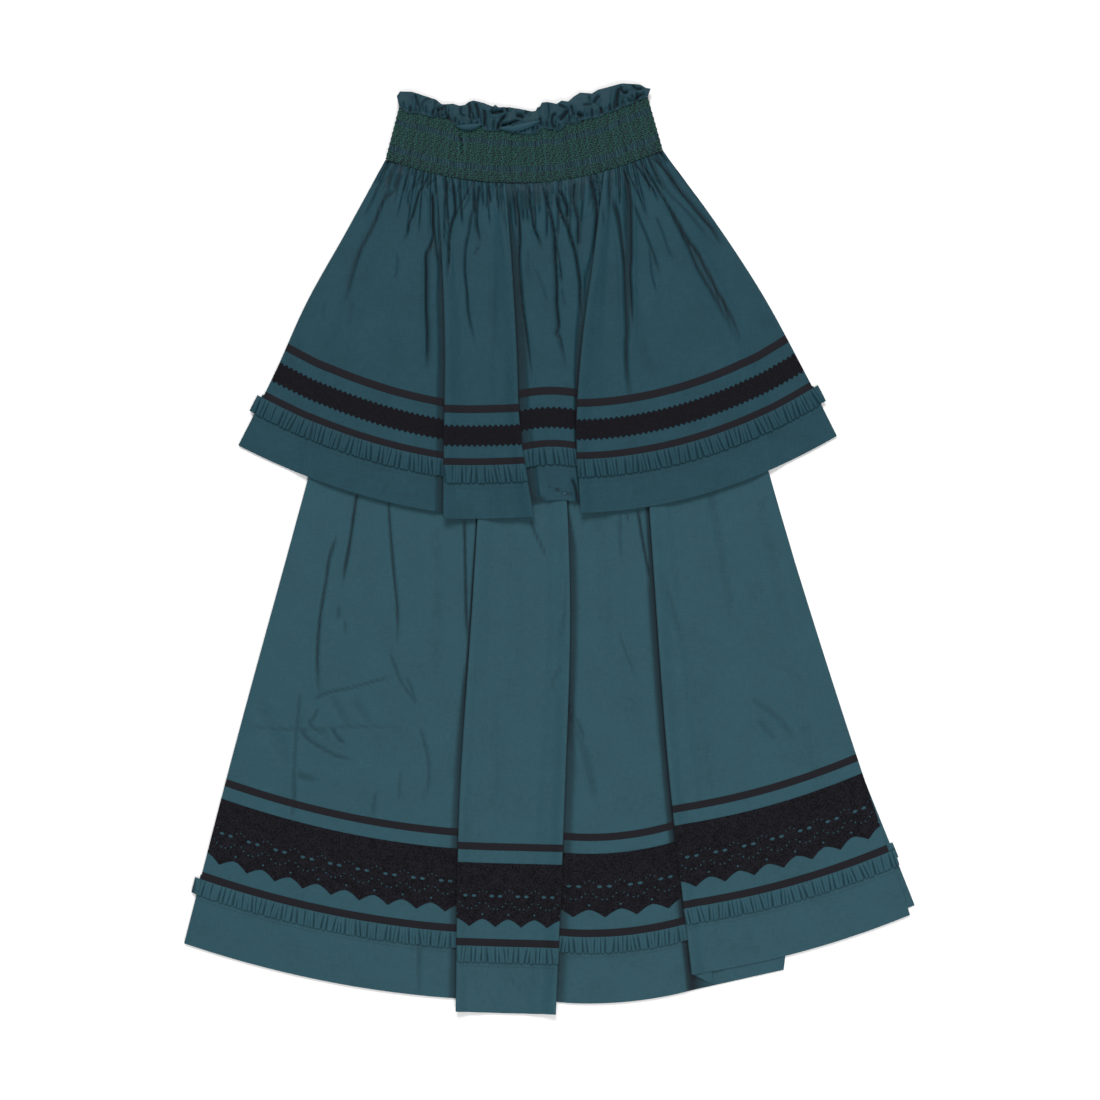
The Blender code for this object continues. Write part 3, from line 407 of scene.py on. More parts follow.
# Smocking: reeds across the band, and its bands of stitches: the shares of the height down from the top edge
# that each lies between, its rows, and its stitches to a reed and their size
REEDS = 92
REED_POINTS = 6
BAND_BACK_Z = 3.6
BAND_INSIDE_Z = 3.9
REED_CREST_Z = 7.6
REED_DEPTH = 1.5
BAND_ROW_COUNT = 44
BACK_REED_POINTS = 3
BAND_BACK_ROW_COUNT = 26
STITCH_BANDS = ((0.0, 0.2, 6, 1.7, 1.1), (0.29, 0.69, 12, 1.7, 1.1), (0.79, 1.0, 5, 1.4, 1.3))
BACK_STITCHES = {"per_reed": 0.6, "size": 1.4}
STITCH = {"length": 2.0, "width": 0.72, "height": 0.7, "slant": 0.9}
# Sections of a stitch: place along it and thickness. Corners of a section: beside and above its middle.
STITCH_SECTIONS = ((-1.0, 0.12), (-0.45, 0.95), (0.45, 0.95), (1.0, 0.12))
STITCH_CORNERS = ((-1, -0.4), (0, 1.0), (1, -0.4))
STITCH_ENDS = ((0, 1, 2), (11, 10, 9))
STITCH_BOW = 0.15
# Heights of the stitches on the front and under the back, and the unevenness from which one is left out
FRONT_STITCH_Z = REED_CREST_Z - 0.05
BACK_STITCH_Z = 0.55
STITCH_SKIPPED = 0.9
# How near the stitches come to the band's sides and edges, as shares of its width and height
STITCH_SIDE = 0.006
STITCH_EDGE = 0.015
# How far the band's top edge stands above its plain curve, under the ruffle's foot
BAND_RISE = (
    (-158, 3), (-146, 2), (-140, 4.5), (-131, 5.5), (-118, 7.5), (-107, 8), (-101, 6), (-96, 3), (-88, 1.5),
    (-78, 3), (-70, 6), (-66, 3.5), (-55, 3.5), (-46, 5), (-40, 2.5), (-28, 1), (-14, 1), (-8, 4.5), (-3, 4.5),
    (2, 2.5), (8, 1.5), (14, 3), (18, 5.5), (27, 4), (36, 5.5), (48, 4.5), (58, 5), (68, 4.5), (77, 5.2),
    (90, 4.5), (104, 3),
)
# Painted shade between the reeds: depth between them at which they start to darken, the depth over which
# they do, and the most
SHALLOW_DEPTH = 0.45
SHADE_DEPTH = 1.15
BAND_DARKEST = 0.95
BAND_SIDE_NICK = 0.7
BAND_EDGE_DROOP = 0.5
# Painted shade: how dark the cloth is between its stitches, and in the plain rows, where part of it varies
# from reed to reed
STITCHED_SHADE = 0.55
PLAIN_SHADE = 0.05
PATCHY_SHADE = 0.3
BAND_SEAM = (((-92.5, 437.0), (-92.0, 412.0)), 1.3, 1.5, 0)
# The reeds' roundness, and the parts of their depth that they have where they are stitched and where plain
REED_ROUNDNESS = 0.7
STITCHED_HOLLOW = 0.4
PLAIN_HOLLOW = 0.7
# How far the smocking pinches the reeds to and fro, how lumpy it is, and how far it draws them in
PINCH = 0.34
LUMPS = 0.45
DRAWN_IN = 0.25
BACK_REED_DEPTH = 1.4

# Ruffle: its free edge as points, and the creases that part its lobes
RUFFLE_EDGE = (
    (-160, 476), (-156.5, 480.9), (-144, 480.2), (-131, 476), (-119, 472.3), (-112.5, 467.0), (-108.5, 467.2),
    (-101, 467.9), (-94, 465.8), (-88.5, 466.8), (-84.8, 469.8), (-79, 471.2), (-68.3, 468.3), (-59, 464.6),
    (-56.6, 466.9), (-53, 463.8), (-45, 464.4), (-36, 463.2), (-30.5, 462.3), (-18, 460.0), (-11.6, 460.5),
    (-7.6, 469.0), (-2, 469.6), (8, 467.4), (13, 470.9), (20, 470.1), (26, 475.4), (32.6, 479.6), (45, 478.6),
    (51.5, 482.7), (64, 485.9), (77, 488.9), (95.6, 488.0), (102, 484.4), (107, 483.8),
)
RUFFLE_FOOT = (
    (-155.4, 464.1), (-151.2, 458.9), (-146, 456.8), (-139.7, 457.8), (-131.2, 455.7), (-121.8, 452.6),
    (-116.6, 454.7), (-110.2, 451.5), (-107.1, 453.6), (-101.9, 448.4), (-96.6, 443.1), (-87.2, 440),
    (-76.7, 441), (-71.4, 445.2), (-67.2, 438.9), (-58.8, 438.9), (-53.6, 438.9), (-46.2, 441),
    (-39.9, 436.8), (-30.5, 435.8), (-19.9, 434.7), (-11.6, 435.8), (-8.4, 442.1), (-4.2, 442.1),
    (0, 440), (4.2, 441), (7.4, 438.9), (11.6, 438.9), (15.8, 443.1), (17.9, 447.3), (27.3, 445.2),
    (35.7, 450.5), (43.1, 451.5), (53.6, 453.6), (57.8, 456.8), (66.2, 458.9), (70.4, 459.9),
    (76.7, 464.1), (85, 466.2), (95.5, 471.5), (104, 473.6),
)
RUFFLE_CREASES = (
    (((-140.7, 477.8), (-137.6, 467.2), (-133.3, 456.8)), 1.2, 1.8, 0),
    (((-123.9, 473.6), (-130.2, 470.4), (-133.3, 465.2), (-131.2, 456.8)), 1.1, 1.4, 0),
    (((-118.7, 473.6), (-119.7, 464.1), (-122.9, 453.6)), 1, 1.3, 0),
    (((-117.6, 459.9), (-113.4, 462), (-109.2, 462)), 1.9, 3, 0),
    (((-118.7, 452.6), (-114.5, 457.8), (-110.2, 461)), 1.1, 1.6, 0),
    (((-109.2, 467.2), (-108.2, 457.8), (-102.9, 449.4), (-96.6, 445.2)), 1.2, 2, 0),
    (((-92.4, 465.2), (-92.4, 456.8), (-86.1, 453.6)), 1.1, 1.7, 0),
    (((-85, 470.4), (-83, 462), (-83, 453.6), (-78.8, 449.4)), 1.4, 2.6, -1.5),
    (((-77.7, 468.3), (-74.5, 459.9), (-73.5, 449.4)), 1.3, 2.3, 0),
    (((-80.9, 458.9), (-78.8, 449.4)), 1.1, 2, 0),
    (((-68.2, 461), (-67.2, 452.6), (-68.2, 438.9)), 1.5, 2.8, 0),
    (((-60.9, 457.8), (-53.6, 458.9), (-45.1, 459.9)), 1.7, 2.9, 0),
    (((-60.9, 457.8), (-57.8, 465.2), (-54.6, 467.2)), 1, 1.7, 0),
    (((-45.1, 465.2), (-43.1, 457.8)), 1.3, 2.4, 0),
    (((-34.6, 454.7), (-30.5, 454.7), (-25.2, 452.6)), 2, 3, 0),
    (((-25.2, 456.8), (-21, 461)), 1.2, 1.8, 0),
    (((-54.6, 438.9), (-52.5, 446.2), (-46.2, 454.7), (-41, 456.8)), 1.4, 2.8, 0),
    (((-51.5, 444.2), (-42, 446.2), (-33.6, 449.4), (-27.3, 447.3)), 1.4, 2.6, 0),
    (((-44.1, 437.9), (-35.7, 443.1), (-31.5, 441), (-27.3, 437.9)), 1.2, 2, 0),
    (((-9.5, 453.6), (-8.4, 443.1)), 1.3, 2.2, 0),
    (((-16.8, 465.2), (-18.9, 461)), 1.2, 1.5, 0),
    (((-1.1, 469.4), (0, 457.8), (-2.1, 442.1)), 1, 1.3, 0),
    (((7.4, 457.8), (3.2, 452.6), (4.2, 444.2), (9.5, 438.9)), 1.3, 2.2, 0),
    (((11.6, 450.5), (18.9, 458.9), (21, 464.1)), 1.9, 3, 0),
    (((10.5, 466.2), (19.9, 462)), 1.3, 2, 0),
    (((23.1, 466.2), (25.2, 457.8), (27.3, 453.6)), 1.3, 2.2, 0),
    (((29.4, 457.8), (32.6, 455.7), (37.8, 454.7)), 1.9, 3, 0),
    (((19.9, 446.2), (29.4, 446.2)), 1.3, 2, 0),
    (((35.7, 466.2), (47.2, 467.2)), 1.2, 1.6, 0),
    (((42, 476.7), (43.1, 468.3)), 1, 1.2, 0),
    (((47.2, 468.3), (50.4, 473.6), (54.6, 476.7)), 1.4, 2.2, 0),
    (((53.6, 464.1), (56.7, 455.7)), 1.5, 2.5, 0),
    (((64, 466.2), (65.1, 457.8)), 1.2, 1.9, 0),
    (((73.5, 484.1), (71.4, 473.6), (71.4, 464.1), (73.5, 459.9)), 2, 3, 0),
    (((74.5, 485.1), (78.8, 478.8), (85, 482)), 1.5, 2.6, 0),
    (((83, 472.5), (87.2, 468.3)), 1.2, 1.8, 0),
    (((87.2, 487.2), (92.4, 483), (100.8, 484.1)), 1.2, 2, 0),
    (((89.2, 468.3), (93.5, 474.6), (100.8, 477.8)), 1.3, 2.2, 0),
)
RUFFLE_GATHERS = 44
RUFFLE_Z = 6.6
RUFFLE_OVER_Z = 7.9
RUFFLE_FOOT_LIFT = 0.15
# Painted shade over the whole ruffle, at least this dark
RUFFLE_SHADE = 0.25
RUFFLE_PUFF = 1.8
RUFFLE_LEAST_Z = 4.3
# Points across and rows up the ruffle's two sides, where their free edges start and end, and how far in from
# the band's ends their feet start
RUFFLE_GRID = (380, 36)
BACK_RUFFLE_GRID = (150, 10)
RUFFLE_TOP = (-160, 107)
BACK_RUFFLE_TOP = (-157, 103)
RUFFLE_INSET = 0.8
BACK_RUFFLE_INSET = 1.5
BACK_RUFFLE_RISE = 1.7
# Flaps of the ruffle that flop forward over the band: left end, right end, their sag, half height and crown
RUFFLE_FLAPS = (
    ((-97.5, 443.5), (-69.5, 446.0), 4.0, 3.6, 2.4),
    ((-53.0, 441.5), (-9.0, 449.5), 6.0, 4.2, 2.2),
)
FLAP_LIFT = 1.5

# Frill pleats: spacing, heights at the head and the free edge, how ragged that edge is, and the section of one
PLEAT_PITCH = 3.4
PLEAT_HEAD = 0.3
PLEAT_LIFT = 2.3
PLEAT_BASE = 0.1
PLEAT_RAGGED = 0.55
PLEAT_MIDDLE = 0.6
PLEAT_LEAST = 0.68
PLEAT_LEAN = 0.55
PLEAT_PROFILE = ((0.0, 0.0), (0.08, 0.42), (0.34, 0.8), (0.88, 1.0), (1.0, 0.85))
# The pleats rise along this share of a half wave, which ends a little past its top, at the height below
PLEAT_SWELL = 0.62
PLEAT_SWELL_END = 0.93
# Painted shade in the valleys between the pleats: at the very bottom, how fast it goes, its most, and the
# share of the way down over which it comes in
PLEAT_SHADE = 0.62
PLEAT_SHADE_FALL = 1.15
PLEAT_DARKEST = 0.6
PLEAT_SHADE_START = 0.15
FRILL_THIN = 0.35
FRILL_ROWS = (0.0, 0.12, 0.3, 0.5, 0.7, 0.87, 1.0)
FLAT_FRILL_ROWS = (0.0, 0.5, 1.0)
# How far a frill stands past the two ends of each stretch
FRILL_OVERHANG = {
    "left": (6.0, 0.0),
    "centre": (0.0, 0.0),
    "recess": (0.0, 0.0),
    "right": (0.0, 6.0),
    "back": (3.0, 3.0),
}

# Lace: a scalloped strip with a pair of leaf-shaped eyelets over each point
LACE_TOP = 157.5
LACE_VALLEY = 98.7
LACE_TIP = 90.3
LACE_PITCH = 29.0
LACE_CELL = 1.35
EYELET_ROW = 122.9
EYELETS = ((0.338, 3.3, 1.75), (0.662, 3.3, 1.75))
EYELET_SHARPNESS = 1.6
TIP_SHARPNESS = 1.55
LACE_BACK_CELL = 2.6
# Raised pattern: fans round each pair of eyelets, and rows above them
LACE_FAN = {"below": 3.0, "ribs": 14, "radius": 10.0, "width": 6.0, "height": 0.32}
LACE_ROWS = {"pitch": 3.2, "start": 134.0, "blend": 6.0, "height": 0.14}
# Rows of the lace's grid are close together up to this far above the eyelets, and wider apart from there
LACE_FINE = 11.0
LACE_COARSE = 1.7
LACE_MARGIN = 0.9
# A cut edge keeps this share of a cell clear of its corners
CUT_LEAST = 0.02
# Small holes of one repeat: place along it, distance up from the hem, radius
SMALL_HOLES = (
    (0.0, 103.6, 1.35),
    (0.0, 129.0, 1.05),
    (0.15, 127.2, 1.05),
    (0.85, 127.2, 1.05),
    (0.12, 115.4, 1.1),
    (0.88, 115.4, 1.1),
    (0.235, 112.0, 1.2),
    (0.765, 112.0, 1.2),
    (0.42, 109.4, 1.2),
    (0.58, 109.4, 1.2),
    (0.33, 131.6, 0.7),
    (0.67, 131.6, 0.7),
    (0.5, 134.0, 0.7),
)

# Colours as linear red, green and blue
# The two tiers are one fabric. The upper tier's darker colour is painted shade, for light that falls off
# towards the waist.
UPPER_CLOTH_SHADED = (0.0089, 0.0420, 0.0582)
LOWER_CLOTH = (0.0164, 0.0586, 0.0775)
SMOCKED_CLOTH = (0.0150, 0.0500, 0.0640)
THREAD = (0.0270, 0.1130, 0.0800)
RIBBON = (0.0078, 0.0073, 0.0100)
BRAID_BLACK = (0.0056, 0.0054, 0.0077)
LACE_BLACK = (0.0065, 0.0062, 0.0090)
# Woven cloth: pitches of its threads, slubs and patches of dye to a metre, their shares in the colour, and the
# range of their sum that the colour runs through
WARP_PITCH = 0.55
WEFT_PITCH = 0.6
SLUBS = 900.0
SLUB_STRETCH = 0.12
DYE_PATCHES = 28.0
SLUB_SHARE = 0.35
DYE_SHARE = 0.28
WEAVE_SHARE = 0.2
COLOUR_RANGE = (0.31, 0.77)
# Painted shade: what the deepest trough keeps of its colour
DEEP_SHADE = (0.09, 0.13, 0.16)

# Camera: straight down, as wide as the photo's square frame
FRAME_WIDTH = 1.155
FRAME_MIDDLE = (0.00055, -0.00192)
LENS = 85.0
SENSOR = 36.0
CLOTH_TOP = 0.008


# Materials

def new_material(name, colour, roughness, sheen=0.0, specular=0.15):
    """A material with its plain values on the shader's own sockets."""
    made = bpy.data.materials.new(name)
    made.use_nodes = True
    tree = made.node_tree
    shader = tree.nodes["Principled BSDF"]
    shader.inputs["Base Color"].default_value = (*colour, 1.0)
    shader.inputs["Roughness"].default_value = roughness
    shader.inputs["Specular IOR Level"].default_value = specular
    shader.inputs["Sheen Weight"].default_value = sheen
    shader.inputs["Sheen Roughness"].default_value = 0.45
    place = tree.nodes.new("ShaderNodeTexCoord")
    return made, tree, shader, place.outputs["Object"]


def noise(tree, place, per_metre, detail=2.0, stretch=(1.0, 1.0, 1.0)):
    mapping = tree.nodes.new("ShaderNodeMapping")
    mapping.inputs["Scale"].default_value = stretch
    tree.links.new(place, mapping.inputs["Vector"])
    made = tree.nodes.new("ShaderNodeTexNoise")
    made.inputs["Scale"].default_value = per_metre
    made.inputs["Detail"].default_value = detail
    tree.links.new(mapping.outputs["Vector"], made.inputs["Vector"])
    return made.outputs["Fac"]


def threads(tree, place, pitch, along):
    """Bands of one set of threads, along X or Y."""
    made = tree.nodes.new("ShaderNodeTexWave")
    made.bands_direction = along
    made.inputs["Scale"].default_value = 1 / (pitch * MM) / 20 * math.pi
    made.inputs["Distortion"].default_value = 0.6
    made.inputs["Detail"].default_value = 1.0
    made.inputs["Detail Scale"].default_value = 2.0
    tree.links.new(place, made.inputs["Vector"])
    return made.outputs["Fac"]


def maths(tree, kind, *values):
    made = tree.nodes.new("ShaderNodeMath")
    made.operation = kind
    for socket, value in zip(made.inputs, values):
        if isinstance(value, (int, float)):
            socket.default_value = value
        else:
            tree.links.new(value, socket)
    return made.outputs[0]


def mixed_colour(tree, share, first, second):
    made = tree.nodes.new("ShaderNodeMix")
    made.data_type = "RGBA"
    tree.links.new(share, made.inputs["Factor"])
    for socket, value in ((made.inputs[6], first), (made.inputs[7], second)):
        if isinstance(value, tuple):
            socket.default_value = (*value, 1.0)
        else:
            tree.links.new(value, socket)
    return made.outputs[2]


def shaded(tree, colour):
    """Darkens a colour with painted shade, by how deep in a trough the point lies."""
    depth = tree.nodes.new("ShaderNodeAttribute")
    depth.attribute_name = "shade"
    made = tree.nodes.new("ShaderNodeMix")
    made.data_type = "RGBA"
    made.blend_type = "MULTIPLY"
    tree.links.new(depth.outputs["Fac"], made.inputs["Factor"])
    tree.links.new(colour, made.inputs[6])
    made.inputs[7].default_value = (*DEEP_SHADE, 1.0)
    return made.outputs[2]


def spread(tree, value, low, high):
    """Stretches the part of a noise between low and high over 0 to 1."""
    made = tree.nodes.new("ShaderNodeMapRange")
    made.inputs["From Min"].default_value = low
    made.inputs["From Max"].default_value = high
    tree.links.new(value, made.inputs["Value"])
    return made.outputs["Result"]


def bump(tree, shader, height, strength, distance_mm):
    made = tree.nodes.new("ShaderNodeBump")
    made.inputs["Strength"].default_value = strength
    made.inputs["Distance"].default_value = distance_mm * MM
    tree.links.new(height, made.inputs["Height"])
    tree.links.new(made.outputs["Normal"], shader.inputs["Normal"])


def covered(tree, shader, colour, height, strength, distance_mm):
    """Gives a shader its colour and its fine relief."""
    tree.links.new(colour, shader.inputs["Base Color"])
    bump(tree, shader, height, strength, distance_mm)


def scaled(colour, share):
    return tuple(value * share for value in colour)


def woven_cloth(name, colour, contrast=0.24, sheen=0.06, roughness=0.6):
    """Crisp plain weave: fine threads both ways, slubs along them and a little unevenness in the dye."""
    made, tree, shader, place = new_material(name, colour, roughness, sheen)
    warp = threads(tree, place, WARP_PITCH, "X")
    weft = threads(tree, place, WEFT_PITCH, "Y")
    weave = maths(tree, "MULTIPLY", warp, weft)
    slub_down = noise(tree, place, SLUBS, stretch=(1.0, SLUB_STRETCH, 1.0))
    slub_across = noise(tree, place, SLUBS, stretch=(SLUB_STRETCH, 1.0, 1.0))
    slubs = maths(tree, "ADD", slub_down, slub_across)
    dye = noise(tree, place, DYE_PATCHES, 3.0)
    slub_part = maths(tree, "MULTIPLY", slubs, SLUB_SHARE)
    dye_part = maths(tree, "MULTIPLY", dye, DYE_SHARE)
    weave_part = maths(tree, "MULTIPLY", weave, WEAVE_SHARE)
    total = maths(tree, "ADD", maths(tree, "ADD", slub_part, dye_part), weave_part)
    share = spread(tree, total, *COLOUR_RANGE)
    shade = mixed_colour(tree, share, scaled(colour, 1 - contrast), scaled(colour, 1 + contrast))
    height = maths(tree, "ADD", weave, maths(tree, "MULTIPLY", slubs, 0.8))
    # The cloth's colour carries painted shade in its creases and troughs, from the mesh's shade attribute
    covered(tree, shader, shaded(tree, shade), height, 0.35, 0.12)
    return made


def ribbed_ribbon(name, colour):
    """Ribbon woven with fine cross ribs."""
    made, tree, shader, place = new_material(name, colour, 0.75, 0.03, 0.12)
    ribs = threads(tree, place, 0.9, "X")
    relief = maths(tree, "ADD", ribs, noise(tree, place, 1400.0))
    share = maths(tree, "MULTIPLY", relief, 0.5)
    shade = mixed_colour(tree, share, scaled(colour, 0.75), scaled(colour, 1.3))
    covered(tree, shader, shade, relief, 0.5, 0.15)
    return made


def felted_braid(name, colour):
    """Matt braid with a speckled, knotted surface."""
    made, tree, shader, place = new_material(name, colour, 0.95, 0.03, 0.08)
    knots = noise(tree, place, 620.0, 3.0)
    grain = maths(tree, "MULTIPLY", noise(tree, place, 1900.0), 0.5)
    share = spread(tree, maths(tree, "ADD", knots, grain), 0.55, 0.95)
    shade = mixed_colour(tree, share, scaled(colour, 0.75), scaled(colour, 1.45))
    covered(tree, shader, shade, knots, 0.4, 0.4)
    return made


def crochet(name, colour):
    """Cotton lace: small knotted loops of uneven tone, with painted shade in the darker gaps between them."""
    made, tree, shader, place = new_material(name, colour, 0.9, 0.03, 0.1)
    loops = tree.nodes.new("ShaderNodeTexVoronoi")
    loops.inputs["Scale"].default_value = 620.0
    tree.links.new(place, loops.inputs["Vector"])
    grain = noise(tree, place, 1300.0, 3.0)
    patches = maths(tree, "MULTIPLY", noise(tree, place, 130.0), 0.6)
    relief = maths(tree, "SUBTRACT", maths(tree, "ADD", grain, patches), loops.outputs["Distance"])
    share = spread(tree, relief, 0.0, 0.75)
    # The colour follows the relief: painted shade in the gaps between the loops
    shade = mixed_colour(tree, share, scaled(colour, 0.35), scaled(colour, 1.9))
    covered(tree, shader, shade, relief, 0.8, 0.5)
    return made


def sewing_thread(name, colour):
    """Twisted thread, a little uneven in its colour."""
    made, tree, shader, place = new_material(name, colour, 0.5, 0.05, 0.2)
    twist = noise(tree, place, 1500.0)
    shade = mixed_colour(tree, spread(tree, twist, 0.3, 0.7), scaled(colour, 0.6), scaled(colour, 1.4))
    covered(tree, shader, shade, twist, 0.4, 0.1)
    return made


# Curves and lines

def curve_y(curve, x):
    return curve["low_y"] + curve["bend"] * (x - curve["low_x"]) ** 2


def waist_y(x):
    return curve_y(BAND_BOTTOM, x) - CLEAR


def between(start, leave, end, arrive, t):
    """Place on a smooth curve between two places, with its slopes there, at a share t of the way."""
    return (
        start * (1 + 2 * t) * (1 - t) ** 2
        + leave * t * (1 - t) ** 2
        + end * t * t * (3 - 2 * t)
        + arrive * t * t * (t - 1)
    )


def down_lines(places, shares):
    """X on smooth lines through five evenly spaced places each, for every share of the way down."""
    places = np.atleast_2d(np.asarray(places, float))
    slopes = np.gradient(places, axis=1)
    at = np.clip(np.asarray(shares, float) * 4, 0, 4)
    first = np.minimum(at.astype(int), 3)
    t = (at - first)[:, None]
    after = first + 1
    return between(places[:, first].T, slopes[:, first].T, places[:, after].T, slopes[:, after].T, t)


def one_line(places, shares):
    """X on one smooth line at several shares of the way down."""
    return down_lines(places, shares)[:, 0]


def along_line(line, hem, aside):
    """Places of a column that runs at a distance aside from a table line, measured at the same y."""
    places = np.asarray(line[:5], float) + aside
    top = waist_y(line[0])
    for _ in range(4):
        start = waist_y(places[0])
        y = start + (hem(places[-1]) - start) * np.linspace(0, 1, 5)
        places = one_line(line[:5], (y - top) / (line[5] - top)) + aside
    return places


def hem_between(first, last, sag):
    """The curve of a stretch's hem between two lines, which sags by so much in its middle."""
    def hem(x):
        t = (x - first[4]) / (last[4] - first[4])
        return first[5] + (last[5] - first[5]) * t - 4 * sag * t * (1 - t)

    return hem


def smooth_step(t):
    t = np.clip(t, 0, 1)
    return t * t * (3 - 2 * t)


def unevenness(index, offset=0.0):
    """A fixed share from 0 to 1 that differs from one item to the next."""
    return 0.5 + 0.5 * math.sin(2.4 * index + offset) * math.cos(0.7 * index + 1.3 * offset)


def smooth_path(points):
    """A smooth curve through a few points."""
    points = np.asarray(points, float)
    if len(points) > 2:
        slopes = np.gradient(points, axis=0)
    else:
        slopes = np.repeat(points[1:] - points[:1], 2, axis=0)
    made = []
    for index in range(len(points) - 1):
        for t in np.arange(PATH_STEPS) / PATH_STEPS:
            made.append(between(points[index], slopes[index], points[index + 1], slopes[index + 1], t))
    made.append(points[-1])
    return np.array(made)


def nearest(x, y, path):
    """How far points are from a path, how far to one side of it, and at what share of its length."""
    best = np.full(x.shape, np.inf)
    aside = np.zeros(x.shape)
    place = np.zeros(x.shape)
    steps = np.linalg.norm(np.diff(path, axis=0), axis=1)
    run = np.r_[0, np.cumsum(steps)]
    for index, step in enumerate(steps):
        ax, ay = path[index]
        ux, uy = (path[index + 1] - path[index]) / step
        t = np.clip((x - ax) * ux + (y - ay) * uy, 0, step)
        dx, dy = x - ax - t * ux, y - ay - t * uy
        distance = np.hypot(dx, dy)
        closer = distance < best
        best = np.where(closer, distance, best)
        aside = np.where(closer, np.where(dx * -uy + dy * ux > 0, distance, -distance), aside)
        place = np.where(closer, (run[index] + t) / run[-1], place)
    return best, aside, place


def crease_relief(x, y, creases, lip=LIP):
    """What the creases do to points of a cloth: the height that they add, and painted shade from 0 to 1."""
    total = np.zeros_like(x)
    dark = np.zeros_like(x)
    spacing = LEAST_WIDTH * np.abs(np.gradient(x, axis=1))
    for points, width, depth, soft in creases:
        path = smooth_path(points)
        reach = CREASE_REACH * max(REACH_WIDENED * width, abs(soft))
        near = (
            (x > path[:, 0].min() - reach) & (x < path[:, 0].max() + reach)
            & (y > path[:, 1].min() - reach) & (y < path[:, 1].max() + reach)
        )
        if not near.any():
            continue
        wide = np.clip(spacing[near], width, MOST_WIDENED * width)
        best, aside, place = nearest(x[near], y[near], path)
        fade = smooth_step(place / FADE_IN + FADE_START) * smooth_step((1 - place) / FADE_OUT)
        trough = np.exp(-((best / wide) ** 2))
        shadow = trough ** CRISPNESS
        if soft:
            inside = np.maximum(aside * np.sign(soft), 0)
            beside = SOFT_SIDE * np.exp(-((inside / abs(soft)) ** 2)) * (aside * soft > 0)
            trough = np.maximum(trough, beside)
            shadow = np.maximum(shadow, beside)
        beyond = (best - LIP_PLACE * wide) / (LIP_WIDTH * wide)
        ridge = lip * np.exp(-(beyond ** 2)) * (aside * soft <= 0)
        total[near] += fade * depth * (ridge - trough)
        # Painted shade in the crease and on its soft side
        strength = min(1.0, depth / DARKEST_DEPTH) * min(1.0, (DARKEST_WIDTH / width) ** 2)
        dark[near] = np.maximum(dark[near], fade * np.minimum(1, SHADOW_GAIN * shadow) * strength)
    return total, dark


# Meshes

def grid_faces(rows, columns, offset=0, flip=False):
    """Quads of a grid as an array."""
    here = (np.arange(rows - 1)[:, None] * columns + np.arange(columns - 1)).ravel() + offset
    faces = np.stack([here, here + columns, here + columns + 1, here + 1], axis=1)
    return faces[:, ::-1] if flip else faces


def border(rows, columns):
    """Vertex numbers round a grid, in the order of its faces."""
    top = np.arange(columns)[::-1]
    left = np.arange(rows) * columns
    low = (rows - 1) * columns + np.arange(columns)
    right = (np.arange(rows) * columns + columns - 1)[::-1]
    return np.r_[left[:-1], low[:-1], right[:-1], top[:-1]]


class Mesh:
    """Collects closed shells and becomes one object."""

    def __init__(self):
        self.points = []
        self.faces = []
        self.shades = []
        self.count = 0

    def add(self, points, faces, shade=0.0):
        points = np.asarray(points, float)
        self.points.append(points)
        self.shades.append(np.zeros(len(points)) + shade)
        for group in faces:
            self.faces += (np.asarray(group) + self.count).tolist()
        self.count += len(points)

    def sheets(self, top, bottom, dark=None):
        """A closed shell between two grids of the same size. dark is how deep in shade each point lies."""
        rows, columns = top.shape[:2]
        size = rows * columns
        loop = border(rows, columns)
        after = np.roll(loop, -1)
        sides = np.stack([after, loop, size + loop, size + after], axis=1)
        points = np.concatenate([top.reshape(-1, 3), bottom.reshape(-1, 3)])
        shade = 0.0 if dark is None else np.r_[dark.ravel(), dark.ravel()]
        top_faces = grid_faces(rows, columns)
        bottom_faces = grid_faces(rows, columns, size, True)
        self.add(points, [top_faces, bottom_faces, sides], shade)

    def cloth(self, x, y, z, thick, dark=None):
        """A shell round a grid of middle points, as thick as given along each row's normals."""
        self.sheets(moved(x, y, z, thick / 2), moved(x, y, z, -thick / 2), dark)

    def make(self, name, material):
        """The object, which rides on the skirt's one body."""
        mesh = bpy.data.meshes.new(name)
        placed = (np.concatenate(self.points) - CENTRE) * MM
        mesh.from_pydata(placed.tolist(), [], self.faces)
        # Painted shade of each point, by which the cloth's material darkens its colour
        shade = mesh.attributes.new("shade", "FLOAT", "POINT")
        shade.data.foreach_set("value", np.concatenate(self.shades))
        mesh.shade_smooth()
        mesh.set_sharp_from_angle(angle=SHARP_ANGLE)
        mesh.materials.append(material)
        made = bpy.data.objects.new(name, mesh)
        bpy.context.collection.objects.link(made)
        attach(made, "root")
        return made


def row_normals(x, z):
    """Unit normals in the section of each row of a grid."""
    dx = np.gradient(x, axis=1)
    dz = np.gradient(z, axis=1)
    length = np.hypot(dx, dz) + 1e-9
    return -dz / length, dx / length


def moved(x, y, z, distance):
    """The points of a grid, moved along the normals of its rows."""
    nx, nz = row_normals(x, z)
    return np.stack([x + distance * nx, y, z + distance * nz], axis=2)


# Panels

